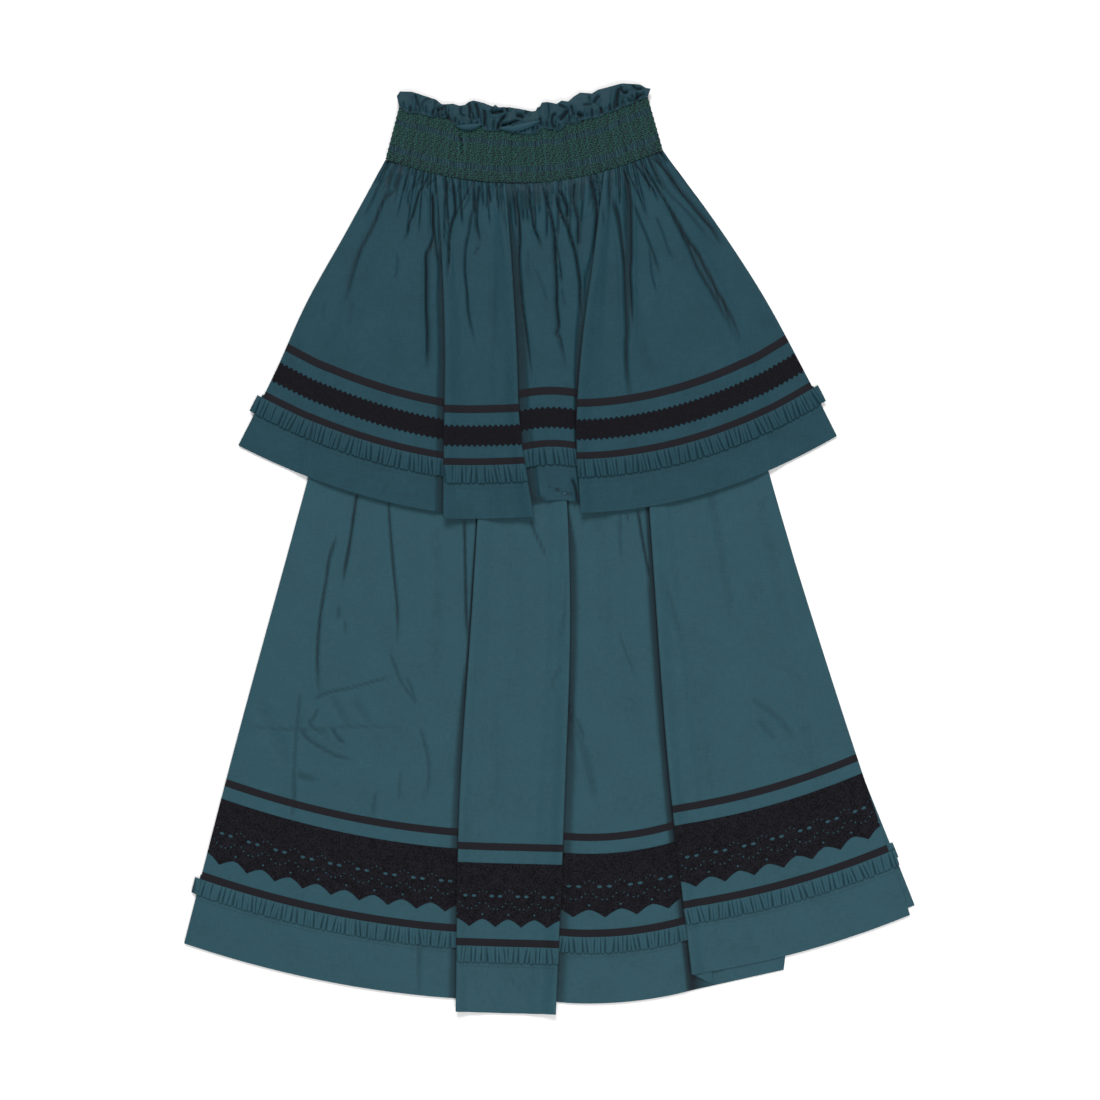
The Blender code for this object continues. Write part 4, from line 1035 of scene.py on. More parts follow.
class Columns:
    """Lines down a panel from waist to hem, which become a grid of points."""

    def __init__(self, hems, line_ends=None):
        self.hems = hems
        self.line_ends = line_ends
        self.places = []
        self.ends = []
        self.levels = []
        self.shows = []
        self.weights = []

    def add(self, places, stretch, level=0.0, shows=True, weight=1.0, end=None):
        """One column. weight is how much the creases move it, and end its y at the hem."""
        places = np.asarray(places, float)
        self.places.append(places)
        self.ends.append(self.hems[stretch](places[-1]) if end is None else end)
        self.levels.append(np.zeros(5) + level)
        self.shows.append(stretch if shows else "")
        self.weights.append(weight)

    def fill(self, stretch, first, last, count, first_level, last_level):
        """Evenly spaced columns between two sets of places, without the end ones."""
        for step in range(1, count):
            share = step / count
            level = np.asarray(first_level) * (1 - share) + np.asarray(last_level) * share
            self.add(np.asarray(first) * (1 - share) + np.asarray(last) * share, stretch, level)

    def grid(self, rows, rest):
        """X, Y and Z of the middle of the cloth at shares of the way down."""
        rows = np.asarray(rows, float)
        places = np.array(self.places)
        x = down_lines(places, rows)
        top = waist_y(places[:, 0])
        y = top + (np.array(self.ends) - top) * rows[:, None]
        z = rest(x, y) + down_lines(np.array(self.levels), rows)
        return x, y, z

    def shown(self, stretch):
        """Numbers of the columns that show in a stretch."""
        return [index for index, name in enumerate(self.shows) if name == stretch]


def fold_columns(columns, line, low, high, under, edge, toward, stand):
    """A knife fold from its bottom layer up. toward is the side of the hidden turn on which the edge lies."""
    inner, outer = line[under], line[edge]
    depth = np.abs(inner - outer)
    fullness = np.minimum(1.0, depth / FULL_FOLD)
    small = LAYER / 2
    lift = EDGE_LIFT * fullness * stand
    turn = small + (EDGE_TURN - small) * fullness * stand
    low_end = columns.line_ends[under]
    high_end = columns.line_ends[edge]
    columns.add(outer - toward * np.minimum(UNDERLAP, UNDERLAP_SHARE * depth), low, weight=0.5)
    for angle in TURN_ANGLES:
        a = math.radians(angle)
        places = inner + toward * small * (1 - math.cos(a))
        columns.add(places, low, small + small * math.sin(a), shows=False, weight=0.0, end=low_end)
    for share in UNDER_SHARES:
        places = inner + toward * small + (outer - toward * turn - inner - toward * small) * share
        end = low_end + (high_end - low_end) * share
        columns.add(places, high, LAYER + lift * share ** 2, shows=False, weight=0.0, end=end)
    for angle in TURN_ANGLES:
        a = math.radians(angle)
        places = outer - toward * turn * (1 - math.cos(a))
        level = LAYER + lift + turn * (1 + math.sin(a))
        columns.add(places, high, level, shows=angle >= 0, weight=0.0, end=high_end)
    span = depth + PLATEAU + RELAX - turn
    crown = LAYER + lift + 2 * turn
    for share in TOP_SHARES:
        off = turn + span * share
        past = np.clip((off - depth - PLATEAU) / RELAX, 0, 1)
        base = 2 * LAYER * (1 - smooth_step(past))
        rise = (crown - 2 * LAYER) * (1 - smooth_step((off - turn) / np.minimum(EDGE_ROLL, span)))
        weight = float(smooth_step(share / CREASED_AFTER))
        columns.add(outer - toward * off, high, base + rise, weight=weight)


def front_columns(lines, sags, spans, side_maker, stand):
    """All columns of a tier's front from its left seam to its right one, through three knife folds."""
    line = {name: np.asarray(row[:5], float) for name, row in lines.items()}
    hems = {name: hem_between(lines[a], lines[b], sags[name]) for name, (a, b) in STRETCH_ENDS.items()}
    line_ends = {name: row[5] for name, row in lines.items()}
    columns = Columns(hems, line_ends)

    def layers(low, high, under, edge, toward):
        made = Columns(hems, line_ends)
        fold_columns(made, line, low, high, under, edge, toward, stand)
        return made

    def take(other, backwards=False):
        order = range(len(other.places))
        for index in reversed(order) if backwards else order:
            for name in ("places", "ends", "levels", "shows", "weights"):
                getattr(columns, name).append(getattr(other, name)[index])

    def fill_to(stretch, target, level=0.0):
        columns.fill(stretch, columns.places[-1], target, spans[stretch], columns.levels[-1], level)

    first = layers("left", "centre", "under_1", "edge_1", -1)
    second = layers("recess", "centre", "under_2", "edge_2", 1)
    third = layers("recess", "right", "under_3", "edge_3", -1)
    left_side = side_maker(lines, "seam_left", hems["left"])
    right_side = side_maker(lines, "seam_right", hems["right"])
    for places, level in left_side:
        columns.add(places, "left", level)
    fill_to("left", first.places[0])
    take(first)
    fill_to("centre", second.places[-1])
    take(second, backwards=True)
    fill_to("recess", third.places[0])
    take(third)
    fill_to("right", right_side[0][0], right_side[0][1])
    for places, level in right_side:
        columns.add(places, "right", level)
    return columns


def refined(steps, parts):
    """Columns between the given ones, on a smooth blend of their heights."""
    made = []
    for before, after, count in zip(steps, steps[1:], parts):
        for part in range(count):
            share = part / count
            places = before[0] + (after[0] - before[0]) * share
            level = before[1] + (after[1] - before[1]) * smooth_step(share)
            made.append((places, level))
    made.append(steps[-1])
    return made


def upper_side(lines, side, hem):
    """Seam and foot lie on the back, and the shoulder and top clear the lower tier."""
    outward = -1 if side == "seam_left" else 1
    seam = np.asarray(lines[side][:5], float)
    edge = LOWER_LINES[side]
    room = np.abs(along_line(edge, hem, 0) - seam)
    foot = along_line(edge, hem, outward * np.minimum(SIDE_FOOT, FOOT_SHARE * room))
    shoulder = along_line(edge, hem, outward * np.minimum(SIDE_SHOULDER, SHOULDER_SHARE * room))
    rise = along_line(edge, hem, -outward * SIDE_TOP)
    low = OVER_BACK_Z - UPPER_FRONT_Z
    steps = [(seam, low), (foot, low), (shoulder, low + SIDE_RISE), (rise, 0.0)]
    if outward > 0:
        return refined(steps[::-1], SIDE_PARTS[::-1])
    return refined(steps, SIDE_PARTS)


def plain_side(lines, side, hem):
    return [(np.asarray(lines[side][:5], float), 0.0)]


def back_hem_y(x):
    return curve_y(BACK_HEM, x)


def ground(x, y):
    """Middle of the lower tier's back: over the upper tier's back, then down a step to the surface."""
    t = np.clip((y - back_hem_y(x) + STEP_START + STEP_LENGTH) / STEP_LENGTH, 0, 1)
    return FLOOR_Z + (OVER_BACK_Z - FLOOR_Z) * smooth_step(t)


def rest_lower_front(x, y):
    return ground(x, y) + LOWER_FRONT_RISE


def rest_upper_front(x, y):
    return UPPER_FRONT_Z + 0 * x


def rest_floor(x, y):
    return FLOOR_Z + 0 * x


def waist_gathers(columns):
    """Uneven valleys that run down from the waistband along the lines of the cloth."""
    made = []
    for number, stretch in enumerate(STRETCHES):
        shown = columns.shown(stretch)
        first = columns.places[shown[0]]
        last = columns.places[shown[-1]]
        count = GATHER_COUNTS[stretch]
        for index in range(count):
            lean = unevenness(index, 1.1 + number)
            long = unevenness(index, 3.7 + 2 * number) ** 1.5
            deep = unevenness(index, 5.3 + number)
            share = (index + 0.25 + 0.5 * lean) / count
            places = first + (last - first) * share
            length = GATHER_REACH[0] + (GATHER_REACH[1] - GATHER_REACH[0]) * long
            top = waist_y(places[0])
            hem = columns.hems[stretch](places[-1])
            path = []
            for part in GATHER_PARTS:
                down = part * length / (top - hem)
                drift = GATHER_DRIFT * (lean - 0.5) * part
                path.append((float(one_line(places, [max(down, 0.0)])[0]) + drift, top - part * length))
            width = GATHER_WIDTH[0] + (GATHER_WIDTH[1] - GATHER_WIDTH[0]) * unevenness(index, 7.9 + number)
            depth = GATHER_DEPTH[0] + (GATHER_DEPTH[1] - GATHER_DEPTH[0]) * deep
            made.append((path, width, depth, 0.0))
    return made


def fold_valley_relief(columns, x, y, tier):
    """Troughs in the cloth beside a fold's standing edge, and the painted shade in them."""
    total = np.zeros_like(x)
    dark = np.zeros_like(x)
    for stretch, end, depth, places in FOLD_VALLEYS[tier]:
        shown = columns.shown(stretch)
        ups, widths, shades = np.array(places, float).T
        edge = x[:, shown[end]][:, None]
        away = np.maximum(np.abs(x[:, shown] - edge) - UNDERLAP, 0)
        wide = np.interp(y[:, shown], ups, widths)
        level = np.interp(y[:, shown], ups, shades)
        flat = VALLEY_FLAT * wide
        share = 1 - smooth_step((away - flat) / (flat + VALLEY_LEAST))
        total[:, shown] -= depth * share * np.minimum(1, wide / VALLEY_FULL)
        level = np.minimum(1, VALLEY_GAIN * level)
        # Painted shade in the valley, darkest near the fold's edge
        shade = level * share * (0.75 + 0.25 * np.exp(-away / VALLEY_EDGE))
        dark[:, shown] = np.maximum(dark[:, shown], shade)
    return total, dark


def upper_rows():
    """Shares of the way down the upper tier, closer together in its gathers."""
    return np.linspace(0, 1, UPPER_ROW_COUNT) ** UPPER_ROW_CROWDING


def lower_rows():
    """Shares of the way down the lower tier."""
    made = [0.0]
    for share, count in LOWER_ROWS:
        made += np.linspace(made[-1], share, count + 1)[1:].tolist()
    return np.array(made)


def laid_front(columns, rows, rest, creases, tier):
    """The grid of a tier's front with its creases, and the painted shade of each point in a trough."""
    x, y, z = columns.grid(rows, rest)
    weight = np.array(columns.weights)[None, :]
    relief, dark = crease_relief(x, y, creases)
    valley, valley_dark = fold_valley_relief(columns, x, y, tier)
    dark = np.maximum(dark * weight, valley_dark)
    flat = z
    z = z + np.maximum(relief, -DEEPEST_TROUGH) * weight + valley
    showing = weight > 0
    if tier == "upper":
        down = rows[:, None]
        puff = smooth_step(down / PUFF_START) * (1 - smooth_step((down - PUFF_START) / PUFF_END))
        off_seams = smooth_step((x - x[:, :1]) / PUFF_SIDE) * smooth_step((x[:, -1:] - x) / PUFF_SIDE)
        z = z + PUFF * puff * off_seams
        least = np.minimum(flat - UPPER_LEAST_DIP, UPPER_LEAST_Z)
    else:
        least = ground(x, y) + LOWER_LEAST_RISE
    return (x, y, np.where(showing, np.maximum(z, least), z)), dark


# Places on a panel for its trims

class Surface:
    """The visible side of a panel's stretches, for trims at a distance up from the hem."""

    def __init__(self, columns, grid, offset):
        self.columns = columns
        x, y, z = grid
        self.points = moved(x, y, z, offset)
        runs = np.hypot(np.diff(x, axis=0), np.diff(y, axis=0))
        self.run = np.vstack([np.cumsum(runs[::-1], axis=0)[::-1], np.zeros((1, x.shape[1]))])

    def line(self, stretch, distance):
        """Points of a stretch's columns at one distance."""
        made = []
        for index in self.columns.shown(stretch):
            run = self.run[::-1, index]
            made.append([np.interp(distance, run, self.points[::-1, index, axis]) for axis in range(3)])
        return np.array(made)

    def across(self, stretch, distance, shares, over=(0.0, 0.0)):
        """Points at shares of the way along a stretch, which may stand past its ends."""
        line = self.line(stretch, distance)
        if over[0]:
            out = line[0] - line[3]
            line = np.vstack([line[0] + out / np.linalg.norm(out) * over[0], line])
        if over[1]:
            out = line[-1] - line[-4]
            line = np.vstack([line, line[-1] + out / np.linalg.norm(out) * over[1]])
        steps = np.hypot(np.diff(line[:, 0]), np.diff(line[:, 1]))
        run = np.r_[0, np.cumsum(steps)]
        at = np.asarray(shares, float) * run[-1]
        return np.stack([np.interp(at, run, line[:, axis]) for axis in range(3)], axis=1)

    def length(self, stretch, distance):
        line = self.line(stretch, distance)
        return float(np.sum(np.hypot(np.diff(line[:, 0]), np.diff(line[:, 1]))))


def add_rows(mesh, rows, thick, dark=None):
    """A shell round rows of points."""
    grid = np.stack(rows)
    mesh.cloth(grid[:, :, 0], grid[:, :, 1], grid[:, :, 2], thick, dark)


def with_close_ends(shares, length):
    """Adds shares close to both ends, where a trim bends round the edge of a fold."""
    close = np.array(END_STEPS) / length
    return np.unique(np.round(np.r_[shares, close, 1 - close], 7))


def ribbon(name, surface, limits, material, thick=TRIM_THIN, stretches=STRETCHES):
    mesh = Mesh()
    low, high = limits
    for stretch in stretches:
        length = surface.length(stretch, low)
        count = max(8, round(length / RIBBON_STEP))
        shares = with_close_ends(np.linspace(0, 1, count + 1), length)
        rows = []
        for distance, lift in (
            (high, -RIBBON_DROOP),
            (high - RIBBON_EDGE, 0.0),
            ((low + high) / 2, RIBBON_CROWN),
            (low + RIBBON_EDGE, 0.0),
            (low, -RIBBON_DROOP),
        ):
            rows.append(surface.across(stretch, distance, shares) + (0, 0, lift))
        add_rows(mesh, rows, thick)
    return mesh.make(name, material)


def braid(name, surface, material, thick=TRIM_THIN, stretches=STRETCHES):
    """A strip with pinked edges."""
    mesh = Mesh()
    low, high, tooth = BRAID["low"], BRAID["high"], BRAID["tooth"]
    inset = tooth + BRAID["inset"]
    for stretch in stretches:
        length = surface.length(stretch, (low + high) / 2)
        count = max(2, round(length / BRAID["pitch"]))
        shares = with_close_ends(np.linspace(0, 1, 4 * count + 1), length)
        reach = (1 - np.abs(2 * ((shares * count) % 1.0) - 1))[:, None]
        pinked = []
        for edge, foot in ((high, high - tooth), (low, low + tooth)):
            outer = surface.across(stretch, edge, shares)
            inner = surface.across(stretch, foot, shares)
            pinked.append(inner + (outer - inner) * reach)
        plain = [surface.across(stretch, up, shares) for up in np.linspace(high - inset, low + inset, 5)]
        add_rows(mesh, [pinked[0], *plain, pinked[1]], thick)
    return mesh.make(name, material)


def frill(name, surface, limits, material, flat=False, thick=FRILL_THIN, stretches=STRETCHES, seed=0.0):
    """A strip of fine knife pleats, pressed at the head and standing up at the free edge."""
    mesh = Mesh()
    low, high = limits
    for number, stretch in enumerate(stretches):
        over = FRILL_OVERHANG[stretch]
        total = surface.length(stretch, low) + sum(over)
        count = max(3, round(total / PLEAT_PITCH))
        places = []
        heights = []
        leans = []
        for pleat in range(count):
            shift = 0.3 * math.sin(1.9 * pleat + number + seed) + 0.2 * math.sin(0.63 * pleat + 2 * number)
            tall = PLEAT_LEAST + (1 - PLEAT_LEAST) * unevenness(pleat, seed + 0.9 * number)
            lean = 0.9 * math.sin(0.35 * pleat + 1.7 * number + seed) + 0.7 * math.sin(1.3 * pleat + seed)
            for along, height in PLEAT_PROFILE:
                places.append(pleat + along + shift)
                heights.append(height * tall)
                leans.append(lean)
        places = np.clip(np.array(places) / count, 0, 1)
        places[0], places[-1] = 0.0, 1.0
        heights = np.array(heights)
        leans = np.array(leans) * PLEAT_PITCH * PLEAT_LEAN / total
        ragged = np.repeat([math.sin(2.7 * pleat + seed) for pleat in range(count)], len(PLEAT_PROFILE))
        rows = []
        darks = []
        for down in FLAT_FRILL_ROWS if flat else FRILL_ROWS:
            distance = high + (low - high) * down
            shares = np.clip(places + leans * down, 0, 1)
            shares[0], shares[-1] = 0.0, 1.0
            line = surface.across(stretch, distance, shares, over)
            if not flat:
                risen = math.sin(down * math.pi * PLEAT_SWELL) / PLEAT_SWELL_END
                swell = PLEAT_HEAD + (PLEAT_LIFT - PLEAT_HEAD) * risen
                line[:, 2] += heights * swell + PLEAT_BASE
                longer = heights - PLEAT_MIDDLE + PLEAT_MIDDLE * ragged
                line[:, 1] -= longer * PLEAT_RAGGED * down ** 2
            rows.append(line)
            # Painted shade in the valleys between the pleats
            dark = np.clip(PLEAT_SHADE - heights * PLEAT_SHADE_FALL, 0, PLEAT_DARKEST)
            darks.append(dark * smooth_step(down / PLEAT_SHADE_START))
        add_rows(mesh, rows, thick, np.stack(darks))
    return mesh.make(name, material)


# Lace

def lace_field(place, distance):
    """Over zero where the lace has thread. place is in repeats and distance up from the hem."""
    part = place - np.floor(place)
    drop = 1 - 2 * np.abs(part - 0.5)
    edge = LACE_VALLEY - (LACE_VALLEY - LACE_TIP) * drop ** TIP_SHARPNESS
    field = distance - edge
    for middle, half_wide, half_high in EYELETS:
        across = np.abs(part - middle) * LACE_PITCH / half_wide
        field = np.minimum(field, np.abs(distance - EYELET_ROW) - half_high * (1 - across ** EYELET_SHARPNESS))
    for middle, up, radius in SMALL_HOLES:
        across = (part - middle + 0.5) % 1.0 - 0.5
        field = np.minimum(field, np.hypot(across * LACE_PITCH, distance - up) - radius)
    return field


def lace_relief(place, distance):
    """Low ribs of the lace: fans round each pair of eyelets and rows above them."""
    part = (place - np.floor(place) - 0.5) * LACE_PITCH
    up = distance - EYELET_ROW + LACE_FAN["below"]
    fan = 0.5 + 0.5 * np.cos(np.arctan2(up, part) * LACE_FAN["ribs"])
    near = np.exp(-(((np.hypot(part, up) - LACE_FAN["radius"]) / LACE_FAN["width"]) ** 2))
    rows = 0.5 + 0.5 * np.cos(distance / LACE_ROWS["pitch"] * 2 * math.pi)
    above = smooth_step((distance - LACE_ROWS["start"]) / LACE_ROWS["blend"])
    return LACE_FAN["height"] * fan * near + LACE_ROWS["height"] * rows * above


def cut_grid(points, field):
    """Faces of a grid, cut off where the field falls below zero. Returns vertices and faces."""
    rows, columns = field.shape
    flat = points.reshape(-1, 3)
    value = field.ravel()
    vertices = []
    number = {}

    def vertex(key, place):
        if key not in number:
            number[key] = len(vertices)
            vertices.append(place)
        return number[key]

    faces = []
    for corners in grid_faces(rows, columns).tolist():
        inside = [value[corner] > 0 for corner in corners]
        if not any(inside):
            continue
        face = []
        for index, corner in enumerate(corners):
            after = corners[(index + 1) % 4]
            if inside[index]:
                face.append(vertex(corner, flat[corner]))
            if inside[index] != inside[(index + 1) % 4]:
                share = value[corner] / (value[corner] - value[after])
                share = min(max(share, CUT_LEAST), 1 - CUT_LEAST)
                key = (min(corner, after), max(corner, after))
                face.append(vertex(key, flat[corner] + (flat[after] - flat[corner]) * share))
        if len(face) > 2:
            faces.append(face)
    return np.array(vertices), faces


def shell_of(vertices, faces, thick):
    """A closed shell of a flat-lying sheet of mixed faces."""
    count = len(vertices)
    made = list(faces) + [[count + v for v in reversed(face)] for face in faces]
    edges = set()
    for face in faces:
        for index, start in enumerate(face):
            edges.add((start, face[(index + 1) % len(face)]))
    for start, end in sorted(edges):
        if (end, start) not in edges:
            made.append([end, start, count + start, count + end])
    top = vertices + (0, 0, thick / 2)
    bottom = vertices - (0, 0, thick / 2)
    return np.concatenate([top, bottom]), made


def lace(name, surface, material, thick=TRIM_THIN, cell=LACE_CELL, flat=False, stretches=STRETCHES):
    """A strip of lace, cut out of a grid by its field of thread and holes."""
    mesh = Mesh()
    low_rows = np.arange(LACE_TIP - LACE_MARGIN, EYELET_ROW + LACE_FINE, cell)
    high_count = round((LACE_TOP - low_rows[-1]) / (LACE_COARSE * cell))
    high_rows = np.linspace(low_rows[-1], LACE_TOP, 1 + high_count)[1:]
    distances = np.r_[low_rows, high_rows][::-1]
    for stretch in stretches:
        width = surface.length(stretch, EYELET_ROW)
        repeats = max(1, round(width / LACE_PITCH))
        count = repeats * round(LACE_PITCH / cell)
        shares = with_close_ends(np.linspace(0, 1, count + 1), width)
        points = np.stack([surface.across(stretch, distance, shares) for distance in distances])
        place, up = np.meshgrid(shares * repeats, distances)
        if not flat:
            points[:, :, 2] += lace_relief(place, up)
        vertices, faces = cut_grid(points, lace_field(place, up))
        vertices, faces = shell_of(vertices, faces, thick)
        mesh.faces += [[v + mesh.count for v in face] for face in faces]
        mesh.add(vertices, [])
    return mesh.make(name, material)


# Waistband and ruffle

def band_top_y(x, rise_share=1.0):
    rise_x, rise = np.array(BAND_RISE, float).T
    return curve_y(BAND_TOP, x) + rise_share * np.interp(x, rise_x, rise)


def band_point(across_share, down_share, rise_share=1.0):
    """X and y on the waistband, from its top edge down."""
    top_x = BAND_TOP["left"] + (BAND_TOP["right"] - BAND_TOP["left"]) * across_share
    low_x = BAND_BOTTOM["left"] + (BAND_BOTTOM["right"] - BAND_BOTTOM["left"]) * across_share
    x = top_x + (low_x - top_x) * down_share
    top_y = band_top_y(top_x, rise_share)
    return x, top_y + (curve_y(BAND_BOTTOM, low_x) - top_y) * down_share


def row_wander(across):
    """How far the smocking's rows stray down the band, as a share of its height."""
    return 0.016 * np.sin(9.0 * across + 1.0) + 0.009 * np.sin(31.0 * across + 2.0)


def stitched_share(down):
    """From 0 in the plain reeds to 1 in a band of smocking stitches."""
    share = np.zeros_like(down)
    for start, end, _, _, _ in STITCH_BANDS:
        inside = np.minimum(down - start, end - down)
        share = np.maximum(share, smooth_step(inside / 0.03 + 0.5))
    return share


def reed_grid(seed, parts, row_count, rise_share):
    """Reeds of gathered cloth over the whole band: x, y, depth below the crests and painted shade."""
    count = REEDS * parts
    at = np.arange(count + 1) / parts
    phase = at - np.floor(at)
    rounded = np.abs(np.sin(math.pi * phase)) ** REED_ROUNDNESS
    fine = np.abs(np.sin(2 * math.pi * phase)) ** REED_ROUNDNESS if parts == REED_POINTS else rounded
    rows_x, rows_y, rows_depth, rows_dark = [], [], [], []
    number = np.floor(at)
    uneven = 0.5 + 0.5 * np.sin(2.1 * number + seed) * np.cos(0.83 * number)
    off_side = np.minimum(at, REEDS - at)
    ends = np.clip(off_side, 0, 1)
    patchy = 0.5 + 0.5 * np.sin(1.7 * number + 3.0 * np.sin(0.37 * number))
    for down in np.linspace(0, 1, row_count):
        stitched = stitched_share(np.clip(down - row_wander(at / REEDS), 0.02, 0.98))
        wander = 0.3 * np.sin(number * 1.7 + down * 7.0 + seed) + 0.18 * np.sin(number * 0.31 + down * 17.0)
        pinch = stitched * PINCH * np.sin(down * 58.0 + math.pi * number + np.sin(number * 0.9))
        nick = BAND_SIDE_NICK * abs(math.sin(down * 31.0)) * (1 - smooth_step(off_side / 1.5))
        x, y = band_point((at + (wander + pinch) * rounded * ends) / REEDS, down, rise_share)
        x = x + nick * np.where(at < REEDS / 2, 1, -1)
        lumpy = LUMPS * stitched * np.sin(down * 116.0 + 1.9 * at) * np.sin(1.3 * at + seed + down * 9.0)
        hollow = STITCHED_HOLLOW * REED_DEPTH * stitched * (1 - rounded)
        hollow = hollow + PLAIN_HOLLOW * REED_DEPTH * (1 - stitched) * (1 - fine)
        depth = hollow + 0.7 * uneven * rounded + lumpy
        droop = BAND_EDGE_DROOP * smooth_step((down - 0.95) / 0.05)
        rows_x.append(x)
        rows_y.append(y)
        rows_depth.append(depth + DRAWN_IN * stitched + droop)
        rows_dark.append(STITCHED_SHADE * stitched + (1 - stitched) * (PLAIN_SHADE + PATCHY_SHADE * patchy))
    return tuple(np.array(rows) for rows in (rows_x, rows_y, rows_depth, rows_dark))


def smocked_front(material):
    """The band's front, smocked outside and plain inside, with its one seam."""
    x, y, depth, dark = reed_grid(0.0, REED_POINTS, BAND_ROW_COUNT, 1.0)
    seam, _ = crease_relief(x, y, (BAND_SEAM,))
    z = REED_CREST_Z - depth + seam
    inside = np.stack([x, y, np.full_like(x, BAND_INSIDE_Z)], axis=2)
    # Painted shade in the hollows between the reeds and in the seam, on top of that of the rows
    dark = np.clip((depth - SHALLOW_DEPTH - seam) / SHADE_DEPTH + dark, 0, BAND_DARKEST)
    mesh = Mesh()
    mesh.sheets(np.stack([x, y, z], axis=2), inside, dark)
    return mesh.make("smocked_front", material)


def smocked_back(material):
    x, y, depth, _ = reed_grid(2.0, BACK_REED_POINTS, BAND_BACK_ROW_COUNT, 0.0)
    z = np.minimum(depth, BACK_REED_DEPTH)
    mesh = Mesh()
    mesh.sheets(np.stack([x, y, np.full_like(x, BAND_BACK_Z)], axis=2), np.stack([x, y, z], axis=2))
    return mesh.make("smocked_back", material)


def add_stitch(mesh, middle, side, slant, half_long, size):
    """One stitch: a spindle with three-cornered sections. side is 1 on the front and -1 under the back."""
    x, y, z = middle
    ux, uy = math.cos(slant), math.sin(slant)
    points = []
    for along, wide in STITCH_SECTIONS:
        for beside, up in STITCH_CORNERS:
            half = STITCH["width"] / 2 * wide * size
            tall = STITCH["height"] / 2 * wide * up
            points.append((
                x + along * half_long * size * ux - beside * half * uy,
                y + along * half_long * size * uy + beside * half * ux,
                z + side * (tall + STITCH_BOW * (1 - abs(along))),
            ))
    faces = []
    for part in range(3):
        for corner in range(3):
            a = part * 3 + corner
            b = part * 3 + (corner + 1) % 3
            faces.append((a, a + 3, b + 3, b))
    mesh.add(points, [np.array(faces)[:, ::side], np.array(STITCH_ENDS)[:, ::side]])


def stitches(name, z, side, material):
    """Short slanting stitches over the reeds, in rows of zigzag."""
    mesh = Mesh()
    for start, end, rows, per_reed, share in STITCH_BANDS:
        if side < 0:
            per_reed, share = BACK_STITCHES["per_reed"] * per_reed, BACK_STITCHES["size"]
        half_long = STITCH["length"] / 2 * share
        count = round(per_reed * REEDS)
        for row in range(rows):
            for reed in range(count):
                if unevenness(reed * 3 + row * 7, 0.4 * row) > STITCH_SKIPPED:
                    continue
                slant = STITCH["slant"] * (1 if (reed + row) % 2 else -1)
                wobble = 0.25 * math.sin(reed * 1.3 + row * 2.2)
                off = 0.3 * math.sin(reed * 2.3 + row * 1.1)
                across = min(max((reed + 0.5 + off) / count, STITCH_SIDE), 1 - STITCH_SIDE)
                down = start + (end - start) * (row + 0.5) / rows + float(row_wander(across))
                down = min(max(down, STITCH_EDGE), 1 - STITCH_EDGE)
                x, y = band_point(across, down, 1.0 if side > 0 else 0.0)
                size = 0.8 + 0.35 * unevenness(reed, 1.0 + row)
                add_stitch(mesh, (x, y + wobble, z), side, slant, half_long, size)
    return mesh.make(name, material)


def ruffle_gathers():
    """Short uneven valleys where the ruffle runs into the smocking."""
    made = []
    for index in range(RUFFLE_GATHERS):
        lean = unevenness(index, 2.9) - 0.5
        place = index + 0.5 + 0.5 * lean
        x = BAND_TOP["left"] + 3 + (BAND_TOP["right"] - BAND_TOP["left"] - 6) * place / RUFFLE_GATHERS
        low = float(np.interp(x, *np.array(RUFFLE_FOOT, float).T)) - 0.5
        long = 6 + 9 * unevenness(index, 0.6)
        path = ((x, low), (x + 2.2 * lean, low + long / 2), (x + 5 * lean, low + long))
        made.append((path, 0.8 + 0.5 * unevenness(index, 4.4), 0.7 + 1.5 * unevenness(index, 1.7), 0.0))
    return made


def ruffle_ends(count, inset, limits):
    """X along the foot and along the free edge of the ruffle."""
    shares = np.linspace(0, 1, count)
    foot_x = BAND_TOP["left"] + inset + (BAND_TOP["right"] - BAND_TOP["left"] - 2 * inset) * shares
    return foot_x, limits[0] + (limits[1] - limits[0]) * shares


def ruffle_front(material):
    """The ruffle's front: waves, creases and gathers, standing on the band's top edge."""
    edge = np.array(RUFFLE_EDGE, float)
    foot = np.array(RUFFLE_FOOT, float)
    foot_x, top_x = ruffle_ends(RUFFLE_GRID[0], RUFFLE_INSET, RUFFLE_TOP)
    top = np.interp(top_x, edge[:, 0], edge[:, 1])
    low = np.interp(foot_x, foot[:, 0], foot[:, 1])
    grid = []
    for up in np.linspace(1, 0, RUFFLE_GRID[1]):
        x = foot_x + (top_x - foot_x) * up
        y = low + (top - low) * up
        beyond = smooth_step((band_top_y(foot_x) + 2.0 - y) / 3.5)
        wave = 0.9 * np.sin(foot_x / 11.0 + 0.8 * up) + 0.6 * np.sin(foot_x / 5.7 + 1.0)
        z = RUFFLE_Z + wave * (0.1 + 0.9 * up) + (RUFFLE_OVER_Z - RUFFLE_Z) * beyond
        z = z + RUFFLE_PUFF * np.sin(math.pi * up ** 0.8)
        grid.append(np.stack([x, y, z], axis=1))
    grid = np.stack(grid)
    x, y, z = grid[:, :, 0], grid[:, :, 1], grid[:, :, 2]
    relief, dark = crease_relief(x, y, list(RUFFLE_CREASES) + ruffle_gathers(), RUFFLE_LIP)
    least = np.where(y < band_top_y(x) + 1.5, REED_CREST_Z + RUFFLE_FOOT_LIFT, RUFFLE_LEAST_Z)
    z = np.maximum(z + relief, least)
    mesh = Mesh()
    # Painted shade: the ruffle is at least RUFFLE_SHADE dark all over, and darker in its creases and gathers
    mesh.cloth(x, y, z, THIN, np.maximum(dark, RUFFLE_SHADE))
    for start, end, sag, half, crown in RUFFLE_FLAPS:
        add_flap(mesh, start, end, sag, half, crown)
    return mesh.make("ruffle_frill_front", material)


